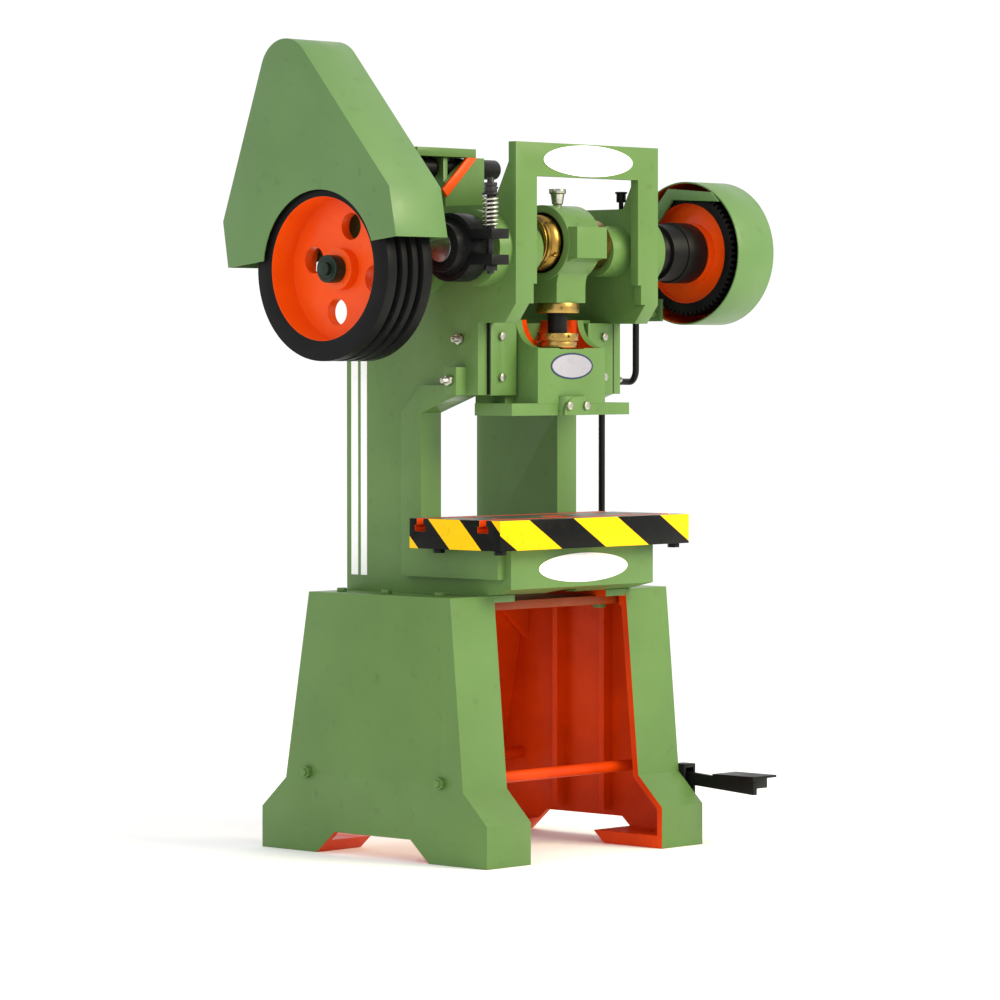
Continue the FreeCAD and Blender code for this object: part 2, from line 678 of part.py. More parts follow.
def frame_holes():
    """Everything that is bored or drilled in the frame."""
    far = "plate_outer + 60"
    bores = [
        crank_cylinder("crank_bore", f"-({far})", far, "journal_radius + bush_wall + run_gap"),
        shaft_cylinder("shaft_bore", f"-({far})", far, "shaft_radius + bush_wall + run_gap"),
        cylinder("anchor_pin_hole", "+X", "-plate_outer - boss_proud_left - 1", ANCHOR_Y, "crank_z", "9 + run_gap",
                 "boss_proud_left + 30"),
        cylinder("trip_pin_hole", "+X", "plate_outer - 30", TRIP_Y, "rod_top", "8 + run_gap", "31"),
    ]
    for side in SIDES:
        drilled = fuse(f"frame_drilled_{side}", *frame_bolt_holes(f"frame_{side}"), *cover_bolt_holes(f"frame_{side}"),
                       *gib_screw_holes(f"frame_{side}"), *bolster_screw_holes(f"frame_{side}"))
        bores.append(drilled if side == "right" else mirrored("frame_drilled_mirrored", drilled))
    for index, (across, up) in enumerate(GUARD_STAYS):
        bores.append(cylinder(f"guard_stay_hole_{index}", "+X", "-plate_outer - 1", across, up, "8 + run_gap", "21"))
    for index, (across, up) in enumerate(DRUM_STAYS):
        bores.append(cylinder(f"drum_stay_hole_{index}", "-X", "plate_outer + 1", across, up, "8 + run_gap", "21"))
    return bores


ANCHOR_Y = "crank_y + brake_outer + 14"
TRIP_Y = "rod_high_y + trip_arm"
GUARD_STAYS = (("70", "1300"), ("140", "1240"))
DRUM_STAYS = (("crank_y + 76", "crank_z + 64"), ("crank_y + 81", "crank_z - 128"))
COVER_SPOTS = ("head_bottom + 36", "head_bottom + 120")
GIB_SPOTS = ("head_bottom + 30", "head_bottom + 114")
BOLSTER_SPOTS = ("crank_y - 16", "crank_y + 64")


def cover_bolt_holes(name):
    """Tapped holes of the gib covers."""
    return [cylinder(f"{name}_cover_hole_{index}", "+Y", "157", "-tongue_front - cover_thick - 1", spot,
                     "5 + run_gap", "cover_thick + 32") for index, spot in enumerate(COVER_SPOTS)]


def gib_screw_holes(name):
    """Tapped holes of the gib adjusting screws."""
    return [cylinder(f"{name}_gib_hole_{index}", "+X", "tongue_half", "-tongue_front + 42", spot,
                     "6 + run_gap", "plate_outer - tongue_half + 40")
            for index, spot in enumerate(GIB_SPOTS)]


def bolster_screw_holes(name):
    """Counterbored holes of the bolster's screws."""
    holes = []
    for index, spot in enumerate(BOLSTER_SPOTS):
        holes.append(cylinder(f"{name}_bolster_hole_{index}", "+Z", "plate_outer - plate_thick / 2", spot,
                              "bed_top - 32", "8 + run_gap", "bolster_thick + 40"))
        holes.append(cylinder(f"{name}_bolster_seat_{index}", "+Z", "plate_outer - plate_thick / 2", spot,
                              "bed_top + bolster_thick - 19", "13.5", "40"))
    return holes


def make_frame():
    """The C-frame, one welded casting."""
    right = make_side_plate()
    body = fuse("frame_body", right, mirrored("side_plate_left", right), make_head_front(), make_bed(),
                *make_guides(), *make_bosses())
    return piece(cut("press_frame", body, *frame_holes()))


def make_name_plates():
    """Two bare oval plates, on the head and on the bed."""
    head = oval_plate("head_plate", "-face_front", "face_top - bar_height / 2", "136", "32")
    bed = oval_plate("bed_plate", "-bed_front", "bed_top - 42", "136", "30")
    piece(group("name_plates", head, bed))


def oval_plate(name, front, height, half_width, half_height):
    """A thin oval plate on a face that looks to the front."""
    oval = doc.addObject("Part::Ellipse", f"{name}_edge")
    bind(oval, MajorRadius=half_width, MinorRadius=half_height)
    place(oval, "0", f"{front} - seat_gap", height, "-Y")
    plate = doc.addObject("Part::Extrusion", name)
    plate.Base = oval
    plate.DirMode = "Custom"
    plate.Dir = Vector(0, -1, 0)
    bind(plate, LengthFwd="1.5")
    plate.Solid = True
    return plate


def make_bolster():
    """The bolster plate with two T-slots, the blank hole and its screws."""
    plate = box("bolster_blank", ("-bolster_half", "bolster_half"), ("-bolster_front", "-bolster_back"),
                ("bed_top", "bed_top + bolster_thick"))
    top = "bed_top + bolster_thick"
    tools = [cylinder("blank_hole", "+Z", "0", "crank_y", "bed_top - 1", "die_hole", "bolster_thick + 2")]
    for name, spot in (("front", "-slot_front"), ("back", "-slot_back")):
        tools.append(box(f"slot_mouth_{name}", ("-bolster_half - 1", "bolster_half + 1"),
                         (f"{spot} - slot_width / 2", f"{spot} + slot_width / 2"), (f"{top} - slot_depth", f"{top} + 1")))
        tools.append(box(f"slot_head_{name}", ("-bolster_half - 1", "bolster_half + 1"),
                         (f"{spot} - slot_head / 2", f"{spot} + slot_head / 2"),
                         (f"{top} - slot_depth", f"{top} - slot_depth / 2")))
    for side in SIDES:
        drilled = fuse(f"bolster_drilled_{side}", *bolster_screw_holes(f"bolster_{side}"), *corner_holes(side))
        tools.append(drilled if side == "right" else mirrored("bolster_drilled_mirrored", drilled))
    piece(cut("bolster_plate", plate, *tools))
    screws = []
    for index, spot in enumerate(BOLSTER_SPOTS):
        head = cylinder(f"bolster_screw_head_{index}", "+Z", "plate_outer - plate_thick / 2", spot,
                        f"{top} - 19", "12", "16")
        shank = cylinder(f"bolster_screw_shank_{index}", "-Z", "plate_outer - plate_thick / 2", spot,
                         f"{top} - 19", "8", "bolster_thick - 19 + 30")
        socket = hexagon(f"bolster_screw_socket_{index}", "+Z", "plate_outer - plate_thick / 2", spot,
                         f"{top} - 11", "14", "9")
        screw = cut(f"bolster_screw_{index}", fuse(f"bolster_screw_blank_{index}", head, shank), socket)
        screws.extend((screw, mirrored(f"bolster_screw_left_{index}", screw)))
    for index, spot in enumerate(CORNER_SPOTS):
        screw = hex_bolt(f"corner_bolt_{index}", "-Z", "bolster_half - 24", spot, "bed_top", "22", "9", "7", "30")
        screws.extend((screw, mirrored(f"corner_bolt_left_{index}", screw)))
    piece(group("bolster_bolts", *screws))


CORNER_SPOTS = ("-bolster_front + 22", "-bolster_back - 60")


def corner_holes(side):
    """Tapped holes under the bolster's corners."""
    return [cylinder(f"corner_hole_{side}_{index}", "+Z", "bolster_half - 24", spot, "bed_top - 1",
                     "7 + run_gap", "31") for index, spot in enumerate(CORNER_SPOTS)]


# ---------------------------------------------------------------- ram, guides and connecting rod

ROD_Z = "crank_z + throw"
POCKET_Y = "ball_radius + throw + 1.5"
POCKET_TOP = "ram_cheek - 12"


def make_gibs():
    """Gib strips, gib covers with their bolts, and the adjusting screws."""
    bolts = []
    screws = []
    strip = box("gib_strip_right", ("tongue_half + seat_gap", "tongue_half + seat_gap + gib_wall"),
                ("seat_gap - tongue_front", "-tongue_back - seat_gap"), ("head_bottom + 2", "guide_top - 2"))
    cover_blank = box("gib_cover_blank", ("cover_inner", "cover_outer"),
                      ("-tongue_front - cover_thick", "-tongue_front"), ("head_bottom - 1", "guide_top"))
    cover = cut("gib_cover_right", cover_blank, *cover_bolt_holes("gib_cover"))
    piece(group("gib_strips", strip, mirrored("gib_strip_left", strip)))
    piece(group("gib_covers", cover, mirrored("gib_cover_left", cover)))
    for index, spot in enumerate(COVER_SPOTS):
        bolt = hex_bolt(f"cover_bolt_{index}", "-Y", "157", "-tongue_front - cover_thick", spot, "15", "7", "5",
                        "cover_thick + 28")
        bolts.extend((bolt, mirrored(f"cover_bolt_left_{index}", bolt)))
    start = "tongue_half + seat_gap + gib_wall"
    for index, (spot, seat) in enumerate(zip(GIB_SPOTS, ("plate_outer + LUG", "plate_outer"))):
        face = seat.replace("LUG", "32")
        stem = cylinder(f"gib_screw_stem_{index}", "+X", start, "-tongue_front + 42", spot, "6",
                        f"{face} + 24 - ({start})")
        nut = hexagon(f"gib_screw_nut_{index}", "+X", face, "-tongue_front + 42", spot, "20", "10")
        screw = fuse(f"gib_screw_{index}", stem, nut)
        screws.extend((screw, mirrored(f"gib_screw_left_{index}", screw)))
    piece(group("gib_cover_bolts", *bolts))
    piece(group("gib_adjusting_screws", *screws))


def tool_bore(name, low, high):
    """The tool shank's bore, through the ram's foot and its clamp."""
    return cylinder(name, "+Z", "0", "crank_y", low, "tool_radius", f"({high}) - ({low})")


def clamp_bolt_holes(name):
    """Tapped holes of the shank clamp's bolts."""
    return [cylinder(f"{name}_clamp_hole_{index}", "+Y", f"{sign}26", "-clamp_front - 1",
                     "ram_bottom - foot_drop + clamp_height / 2", "5 + run_gap", "86") for index, sign in enumerate("-+")]


def make_ram():
    """The ram with its guided tongue, foot flange, ball pocket and shank clamp."""
    foot = "ram_bottom - foot_drop"
    block = box("ram_block", ("-ram_half", "ram_half"), ("-ram_front", "-tongue_front + 10"), ("ram_bottom - 1", "ram_top"))
    tongue = box("ram_tongue", ("-tongue_half", "tongue_half"), ("seat_gap - tongue_front", "-tongue_back"),
                 ("ram_bottom - 1", "ram_top"))
    flange = box("ram_flange", ("-foot_half", "foot_half"), ("-ram_front + 1", "-foot_back"), (foot, "ram_bottom"))
    bowl = cylinder("ram_bowl", "+Y", "0", "-ram_front - 1", "ram_cheek + 70", "70", "ram_front - tongue_back + 2")
    flat = box("ram_flat", ("-collar_radius - 3", "collar_radius + 3"), ("-ram_front - 1", "1 - tongue_back"),
               ("ram_cheek", "ram_top + 1"))
    chamber = box("ball_chamber", ("-ball_radius - 1", "ball_radius + 1"),
                  (f"crank_y - ({POCKET_Y})", f"crank_y + {POCKET_Y}"), ("ball_z - ball_radius - 15", "ram_cheek + 1"))
    recess = box("retainer_recess", ("-38 - seat_gap", "38 + seat_gap"),
                 (f"crank_y - ({POCKET_Y}) - 5 - seat_gap", f"crank_y + {POCKET_Y} + 9 + seat_gap"),
                 (POCKET_TOP, "ram_cheek + 1"))
    notch = box("clamp_notch", ("-clamp_half - seat_gap", "clamp_half + seat_gap"),
                ("-ram_front - 1", "crank_y + seat_gap"), (f"{foot} - 1", f"{foot} + clamp_height + seat_gap"))
    body = fuse("ram_body", block, tongue, flange)
    piece(cut("ram", body, bowl, flat, chamber, recess, notch, tool_bore("ram_bore", f"{foot} - 1", f"{foot} + clamp_height"),
              *clamp_bolt_holes("ram")))
    clamp = box("clamp_blank", ("-clamp_half", "clamp_half"), ("-clamp_front", "crank_y - seat_gap"),
                (foot, f"{foot} + clamp_height"))
    piece(cut("shank_clamp", rounded("clamp_rounded", clamp, upright_front_edges, "18"),
              tool_bore("clamp_bore", f"{foot} - 1", f"{foot} + clamp_height + 1"), *clamp_bolt_holes("clamp")))
    bolts = [hex_bolt(f"clamp_bolt_{index}", "-Y", f"{sign}26", "-clamp_front", f"{foot} + clamp_height / 2", "16", "8",
                      "5", "84") for index, sign in enumerate("-+")]
    piece(group("clamp_bolts", *bolts))
    make_ball_joint()
    piece(oval_plate("ram_badge", "-ram_front", "ram_bottom + 76", "66", "28"))


def make_ball_joint():
    """The seat under the ball and the retainer over it."""
    piece(box("ball_seat", ("seat_gap - ball_radius - 1", "ball_radius + 1 - seat_gap"),
              (f"crank_y - ({POCKET_Y}) + seat_gap", f"crank_y + {POCKET_Y} - seat_gap"),
              ("ball_z - ball_radius - 15", "ball_z - ball_radius - throw / 4")))
    plate = box("retainer_blank", ("-38", "38"),
                (f"crank_y - ({POCKET_Y}) - 5", f"crank_y + {POCKET_Y} + 9"), (POCKET_TOP, "ram_cheek"))
    slot = box("retainer_slot", ("-13", "13"), ("crank_y - throw - 13.5", "crank_y + throw + 13.5"),
               (f"{POCKET_TOP} - 1", "ram_cheek + 1"))
    piece(cut("ball_retainer", plate, slot))


def rod_cylinder(name, low, high, radius):
    """A cylinder about the eccentric's centre, with the crank at the top of its stroke."""
    return cylinder(name, "+X", low, "crank_y", ROD_Z, radius, f"({high}) - ({low})")


def make_connecting_rod():
    """The connecting rod, its ball screw with two rings, and its oil cup."""
    strap = rod_cylinder("rod_strap", "strap_left", "strap_right", "strap_radius")
    shank = box("rod_shank", ("-shank_half", "shank_half"), ("-shank_front", "2 * crank_y + shank_front"),
                ("shank_bottom", f"{ROD_Z} - strap_radius / 2"))
    cap = box("rod_cap", ("-shank_half - 1.5", "shank_half + 1.5"), ("-shank_front - 58", "-shank_front + 20"),
              (f"{ROD_Z} - 32", f"{ROD_Z} + 32"))
    bore = rod_cylinder("rod_bore", "strap_left - 1", "strap_right + 1", "sleeve_radius + run_gap")
    screw_hole = cylinder("rod_screw_hole", "+Z", "0", "crank_y", "shank_bottom - 1", "screw_radius + run_gap", "54")
    oil_hole = cylinder("rod_oil_hole", "+Z", "0", "crank_y", ROD_Z, "4", "strap_radius + 1")
    piece(cut("connecting_rod", fuse("rod_body", strap, shank, cap), bore, screw_hole, oil_hole))
    ball = doc.addObject("Part::Sphere", "screw_ball")
    bind(ball, Radius="ball_radius")
    place(ball, "0", "crank_y", "ball_z")
    collar_low = "ram_cheek + throw / 4"
    neck = cylinder("screw_neck", "+Z", "0", "crank_y", "ball_z", "12", f"{collar_low} - ball_z + 1")
    stem = cylinder("screw_stem", "+Z", "0", "crank_y", collar_low, "screw_radius",
                    f"shank_bottom + 50 - ({collar_low})")
    piece(fuse("ball_screw", ball, neck, stem))
    piece(hollow("screw_collar", "+Z", "0", "crank_y", collar_low, "collar_radius", "screw_radius + run_gap",
                 "collar_thick"))
    piece(hollow("lock_ring", "+Z", "0", "crank_y", "shank_bottom - lock_ring_thick", "lock_ring_radius",
                 "screw_radius + run_gap", "lock_ring_thick"))
    top = f"{ROD_Z} + strap_radius"
    stem = cylinder("rod_cup_stem", "+Z", "0", "crank_y", f"{top} - 2", "9", "12")
    plug = cylinder("rod_cup_plug", "+Z", "0", "crank_y", f"{top} - 12", "3.9", "12")
    bowl = cylinder("rod_cup_bowl", "+Z", "0", "crank_y", f"{top} + 9", "16.5", "26")
    lid = cylinder("rod_cup_lid", "+Z", "0", "crank_y", f"{top} + 34", "19", "5")
    seat = rod_cylinder("rod_cup_seat", "-20", "20", "strap_radius + seat_gap / 3")
    shell = cut("rod_cup_shell", fuse("rod_cup_body", stem, bowl, lid), seat)
    piece(fuse("rod_oil_cup", shell, plug))


def make_bearing_cups():
    """Oil cups over the two crank bearings."""
    cups = []
    for sign, side in (("-", "left"), ("", "right")):
        spot = f"{sign}(plate_outer - plate_thick / 2)"
        cups.append(fuse(f"bearing_cup_{side}",
                         cylinder(f"bearing_cup_stem_{side}", "+Z", spot, "crank_y", "plate_top", "5", "16"),
                         cylinder(f"bearing_cup_bowl_{side}", "+Z", spot, "crank_y", "plate_top + 15", "10", "18"),
                         cylinder(f"bearing_cup_lid_{side}", "+Z", spot, "crank_y", "plate_top + 33", "13", "4")))
    piece(group("bearing_oil_cups", *cups))


# ---------------------------------------------------------------- crankshaft, clutch and brake


def make_crankshaft():
    """Crankshaft with its eccentric pin, the eccentric sleeve, the clutch body and the rolling key."""
    left = "-plate_outer - boss_proud_left"
    shaft = crank_cylinder("crank_journals", "brake_left - 27", "gear_left + gear_width + 36", "journal_radius")
    pin = rod_cylinder("crank_pin", "15 - inner_boss_end + 3.5", "inner_boss_end - 3.5", "pin_radius")
    groove = cylinder("key_groove", "+X", "300", "crank_y", "crank_z + journal_radius - 4", "8 + run_gap",
                      "gear_left + gear_width - 300")
    piece(cut("crankshaft", fuse("crank_blank", shaft, pin), groove))
    key = cylinder("key_round", "+X", "300.5", "crank_y", "crank_z + journal_radius - 4", "8",
                   "gear_left + gear_width - 301")
    piece(common("rolling_key", key, crank_cylinder("key_limit", "300", "gear_left + gear_width", "journal_radius - 0.1")))
    ring = fuse("sleeve_blank",
                rod_cylinder("sleeve_dial", "15 - inner_boss_end + 4", "strap_left - seat_gap", "sleeve_radius + 4"),
                rod_cylinder("sleeve_core", "strap_left - 1", "strap_right + 1", "sleeve_radius"),
                rod_cylinder("sleeve_tail", "strap_right + seat_gap", "inner_boss_end - 4", "sleeve_radius - 3"))
    piece(cut("eccentric_sleeve", ring,
              rod_cylinder("sleeve_bore", "-inner_boss_end", "inner_boss_end", "pin_radius + run_gap")))
    right = "plate_outer + boss_proud_right + 3"
    piece(turned("clutch_body", stepped([(right, "300", "50"), ("300", "345", "60"), ("345", "gear_left - 4", "64")],
                                        "journal_radius + run_gap"), "crank_y", "crank_z"))
    far = "gear_left + gear_width"
    nut = hexagon("gear_nut_hex", "+X", f"{far} + 11", "crank_y", "crank_z", "70", "18")
    washer = crank_cylinder("gear_nut_washer", f"{far} + 3", f"{far} + 12", "46")
    piece(cut("gear_nut", fuse("gear_nut_blank", nut, washer),
              crank_cylinder("gear_nut_bore", far, f"{far} + 40", "journal_radius + run_gap")))
    piece(turned("brake_drum", stepped([("brake_left - 25", "brake_left", "50"),
                                        ("brake_left", "brake_left + brake_width", "brake_drum_radius"),
                                        ("brake_left + brake_width", f"{left} - 6", "50")],
                                       "journal_radius + run_gap"), "crank_y", "crank_z"))
    bushes = []
    for side, low, high in (("left", left, "15 - inner_boss_end"),
                            ("right", "inner_boss_end", "plate_outer + boss_proud_right")):
        bushes.append(hollow(f"main_bush_{side}", "+X", low, "crank_y", "crank_z", "journal_radius + bush_wall",
                             "journal_radius + run_gap", f"({high}) - ({low})"))
    piece(group("main_bushes", *bushes))


def make_brake():
    """Two brake shoes hinged on an anchor pin, with the stud, spring and nuts that squeeze them."""
    right = "brake_left + brake_width"
    for side, sign in (("upper", ""), ("lower", "-")):
        ring = crank_cylinder(f"shoe_ring_{side}", "brake_left", right, "brake_outer")
        ear_low = "crank_z + brake_gap" if side == "upper" else "crank_z - brake_gap - ear_thick"
        ear = box(f"shoe_ear_{side}", ("brake_left", right), ("-brake_ear_tip", "crank_y - brake_drum_radius"),
                  (ear_low, f"{ear_low} + ear_thick"))
        wide = ("brake_left - 1", f"{right} + 1")
        other = ("crank_z - 90", "crank_z + brake_gap") if side == "upper" else ("crank_z - brake_gap", "crank_z + 90")
        half = cut(f"shoe_half_{side}", fuse(f"shoe_blank_{side}", ring, ear),
                   crank_cylinder(f"shoe_bore_{side}", "brake_left - 1", f"{right} + 1", "brake_drum_radius + seat_gap"),
                   box(f"shoe_away_{side}", wide, ("-brake_ear_tip - 1", "crank_y + 90"), other))
        middle = "brake_left + brake_width / 2"
        span = ("brake_left", f"{middle} - seat_gap") if side == "upper" else (f"{middle} + seat_gap", right)
        lug = cylinder(f"shoe_lug_{side}", "+X", span[0], ANCHOR_Y, "crank_z", "16", f"({span[1]}) - ({span[0]})")
        reach = ("crank_z + brake_gap", "crank_z + 18") if side == "upper" else ("crank_z - 18", "crank_z - brake_gap")
        link = box(f"shoe_link_{side}", span, ("crank_y + brake_drum_radius + 4", f"{ANCHOR_Y} - 4"), reach)
        hole = cylinder(f"shoe_pin_hole_{side}", "+X", "brake_left - 1", ANCHOR_Y, "crank_z", "9 + run_gap",
                        "brake_width + 2")
        stud_hole = cylinder(f"shoe_stud_hole_{side}", "+Z", middle, "brake_stud_y", "crank_z - 60",
                             "stud_radius + run_gap", "120")
        piece(cut(f"brake_shoe_{side}", fuse(f"shoe_joined_{side}", half, lug, link), hole, stud_hole))
    middle = "brake_left + brake_width / 2"
    ear_top = "crank_z + brake_gap + ear_thick"
    ear_bottom = "crank_z - brake_gap - ear_thick"
    stud = cylinder("brake_stud_bar", "+Z", middle, "brake_stud_y", f"{ear_bottom} - 18", "stud_radius",
                    "2 * (brake_gap + ear_thick) + spring_length + 18 + 34")
    cap = f"{ear_top} + spring_length"
    nuts = []
    for name, low, across, high in (("low", f"{ear_bottom} - 12", "24", "12"), ("top", f"{cap} + 4", "24", "12"),
                                    ("lock", f"{cap} + 16.5", "24", "8")):
        blank = hexagon(f"brake_nut_{name}_blank", "+Z", middle, "brake_stud_y", low, across, high)
        bore = cylinder(f"brake_nut_{name}_bore", "+Z", middle, "brake_stud_y", f"{low} - 1",
                        "stud_radius + run_gap", "20")
        nuts.append(cut(f"brake_nut_{name}", blank, bore))
    nuts.append(hollow("brake_washer", "+Z", middle, "brake_stud_y", cap, "18", "stud_radius + run_gap", "3.7"))
    piece(group("brake_stud", stud, *nuts))
    make_spring(middle, ear_top)


def make_spring(x, seat):
    """The brake's compression spring: a wire swept along a helix."""
    helix = doc.addObject("Part::Helix", "spring_line")
    bind(helix, Pitch="spring_pitch", Height="spring_length - 2 * spring_wire - seat_gap", Radius="spring_coil")
    wire = doc.addObject("Part::Circle", "spring_section")
    bind(wire, Radius="spring_wire")
    wire.Placement = FreeCAD.Placement(Vector(), Rotation(Vector(1, 0, 0), 90))
    wire.setExpression("Placement.Base.x", formula("spring_coil"))
    coil = doc.addObject("Part::Sweep", "brake_spring")
    coil.Sections = [wire]
    coil.Spine = (helix, ["Edge1"])
    coil.Solid = True
    coil.Frenet = True
    piece(place(coil, x, "brake_stud_y", f"{seat} + spring_wire + seat_gap / 2"))


# ---------------------------------------------------------------- gears and countershaft


def tooth_outline(teeth, module, thinning, turn):
    """Corners of a spur gear outline with involute flanks, one tooth centred on the turn angle."""
    pressure = math.radians(20)
    pitch_radius = module * teeth / 2
    base_radius = pitch_radius * math.cos(pressure)
    tip = pitch_radius + module
    root = pitch_radius - 1.25 * module
    half_tooth = math.pi / (2 * teeth) - thinning / (2 * pitch_radius)
    involute = math.tan(pressure) - pressure
    start = max(root, base_radius)
    radii = [start + (tip - start) * step / 4 for step in range(5)]
    flank = []
    for radius in radii:
        angle = math.acos(min(1, base_radius / radius))
        flank.append((radius, half_tooth + involute - (math.tan(angle) - angle)))
    if root < base_radius:
        flank.insert(0, (root, flank[0][1]))
    corners = []
    for index in range(teeth):
        centre = turn + 2 * math.pi * index / teeth
        corners += [(radius, centre - angle) for radius, angle in flank]
        corners += [(radius, centre + angle) for radius, angle in reversed(flank)]
    return [(radius * math.cos(angle), radius * math.sin(angle)) for radius, angle in corners]


def gear_blank(name, teeth, low, width, y, z, turn):
    """A toothed disc about an axis along X, made from its outline."""
    outline = tooth_outline(int(number(teeth)), number("tooth_module"), number("backlash"), turn)
    corners = [Vector(0, across, up) for across, up in outline]
    face = Part.Face(Part.makePolygon(corners + corners[:1]))
    disc = doc.addObject("Part::Feature", name)
    disc.Shape = face.extrude(Vector(number(width), 0, 0))
    return place(disc, low, y, z)


def make_gears():
    """The bull gear on its bush and the pinion on the countershaft, in mesh."""
    across = number(SHAFT_Y) - number("crank_y")
    line = math.atan2(-number("shaft_drop"), across)
    blank = gear_blank("gear_teeth_disc", "gear_teeth", "gear_left", "gear_width", "crank_y", "crank_z", line)
    dish = "tooth_module * (gear_teeth / 2 + 1) - 4 - gear_rim"
    web_left = "gear_left + gear_width - gear_web - 8"
    left = cut("gear_dish_left", crank_cylinder("gear_dish_a", "gear_left - 1", web_left, dish),
               crank_cylinder("gear_hub_a", "gear_left - 2", f"{web_left} + 1", "gear_hub_radius"))
    right = cut("gear_dish_right", crank_cylinder("gear_dish_b", "gear_left + gear_width - 8", "gear_left + gear_width + 1",
                                                  dish),
                crank_cylinder("gear_hub_b", "gear_left + gear_width - 9", "gear_left + gear_width + 2",
                               "gear_hub_radius"))
    bore = crank_cylinder("gear_bore", "gear_left - 1", "gear_left + gear_width + 1", "journal_radius + 6 + 2 * run_gap")
    piece(cut("bull_gear", blank, left, right, bore))
    piece(hollow("gear_bush", "+X", "gear_left", "crank_y", "crank_z", "journal_radius + 6 + run_gap",
                 "journal_radius + run_gap", "gear_width"))
    half_pitch = math.pi / number("pinion_teeth")
    disc = gear_blank("pinion_disc", "pinion_teeth", "gear_left - 2", "gear_width + 4", SHAFT_Y, SHAFT_Z,
                      line + math.pi + half_pitch)
    piece(cut("pinion", disc, shaft_cylinder("pinion_bore", "gear_left - 3", "gear_left + gear_width + 3",
                                             "shaft_radius - 2 + run_gap")))


def key_block(name, low, high, gap):
    """A parallel key on top of the countershaft, or the room for it."""
    return box(name, (f"{low} - {gap}", f"{high} + {gap}"), (f"{SHAFT_Y} - 6 - {gap}", f"{SHAFT_Y} + 6 + {gap}"),
               (f"{SHAFT_Z} + shaft_radius - 5 - {gap}", f"{SHAFT_Z} + shaft_radius + 3.5 + {gap}"))


def make_countershaft():
    """The countershaft in its bushes, the flywheel on its key, collars and the end cap."""
    hub = ("wheel_left + 40", "wheel_left + wheel_width - 8")
    shaft = turned("shaft_blank", stepped([("wheel_left + 12", "gear_left - 2", "shaft_radius"),
                                           ("gear_left - 2", "gear_left + gear_width + 2", "shaft_radius - 2")]),
                   SHAFT_Y, SHAFT_Z)
    key = (f"{hub[0]} + 6", f"{hub[1]} - 6")
    piece(cut("countershaft", shaft, key_block("shaft_keyway", *key, "run_gap")))
    piece(key_block("flywheel_key", *key, "0"))
    rim = flywheel_rim()
    left = "wheel_left + wheel_recess"
    profile = rim + [
        ("wheel_left + wheel_width", "wheel_bore_rim"),
        (f"{left} + wheel_web", "wheel_bore_rim"),
        (f"{left} + wheel_web", "wheel_hub_radius"),
        (hub[1], "wheel_hub_radius"),
        (hub[1], "shaft_radius + run_gap"),
        (hub[0], "shaft_radius + run_gap"),
        (hub[0], "wheel_hub_radius"),
        (left, "wheel_hub_radius"),
        (left, "wheel_bore_rim"),
        ("wheel_left", "wheel_bore_rim"),
    ]
    wheel = turned("flywheel_blank", profile, SHAFT_Y, SHAFT_Z)
    holes = []
    for index in range(4):
        angle = f"{13 + 90 * index}"
        holes.append(cylinder(f"wheel_hole_{index}", "+X", f"{left} - 1", f"{SHAFT_Y} + wheel_hole_circle * cos({angle})",
                              f"{SHAFT_Z} + wheel_hole_circle * sin({angle})", "wheel_hole_radius", "wheel_web + 2"))
    piece(cut("flywheel", wheel, *holes, key_block("wheel_keyway", *key, "run_gap")))
    cap = turned("shaft_cap", stepped([("wheel_left + 2", "wheel_left + 12 - seat_gap", "14"),
                                       ("wheel_left + 12 - seat_gap", f"{hub[0]} - seat_gap", "28")]), SHAFT_Y, SHAFT_Z)
    socket = shaft_cylinder("cap_socket", "wheel_left + 12 - seat_gap", hub[0], "shaft_radius + run_gap")
    piece(cut("shaft_end_cap", cap, socket))
    ends = "plate_outer + shaft_boss_proud"
    rings = []
    for side, low in (("left", f"-({ends}) - 14 - seat_gap"), ("right", f"{ends} + seat_gap")):
        rings.append(hollow(f"shaft_collar_{side}", "+X", low, SHAFT_Y, SHAFT_Z, "33", "shaft_radius + run_gap", "14"))
    piece(group("shaft_collars", *rings))
    bushes = []
    for side, low in (("left", f"-({ends})"), ("right", "plate_outer - plate_thick")):
        bushes.append(hollow(f"shaft_bush_{side}", "+X", low, SHAFT_Y, SHAFT_Z, "shaft_radius + bush_wall",
                             "shaft_radius + run_gap", "shaft_boss_proud + plate_thick"))
    piece(group("shaft_bushes", *bushes))


def flywheel_rim():
    """Outer edge of the flywheel, left to right, with its V-belt grooves."""
    points = [("wheel_left", "wheel_radius")]
    for step in (-1, 0, 1):
        middle = f"wheel_left + wheel_width / 2 + {step} * groove_pitch"
        points += [(f"{middle} - groove_width / 2", "wheel_radius"),
                   (f"{middle} - groove_width / 4", "wheel_radius - groove_depth"),
                   (f"{middle} + groove_width / 4", "wheel_radius - groove_depth"),
                   (f"{middle} + groove_width / 2", "wheel_radius")]
    points.append(("wheel_left + wheel_width", "wheel_radius"))
    return points


# ---------------------------------------------------------------- guards and motor platform


def peak_edge(edge, shape):
    """The belt guard's top edge."""
    return runs_along(edge, Vector(1, 0, 0)) and abs(edge.CenterOfMass.z - shape.BoundBox.ZMax) < 0.01


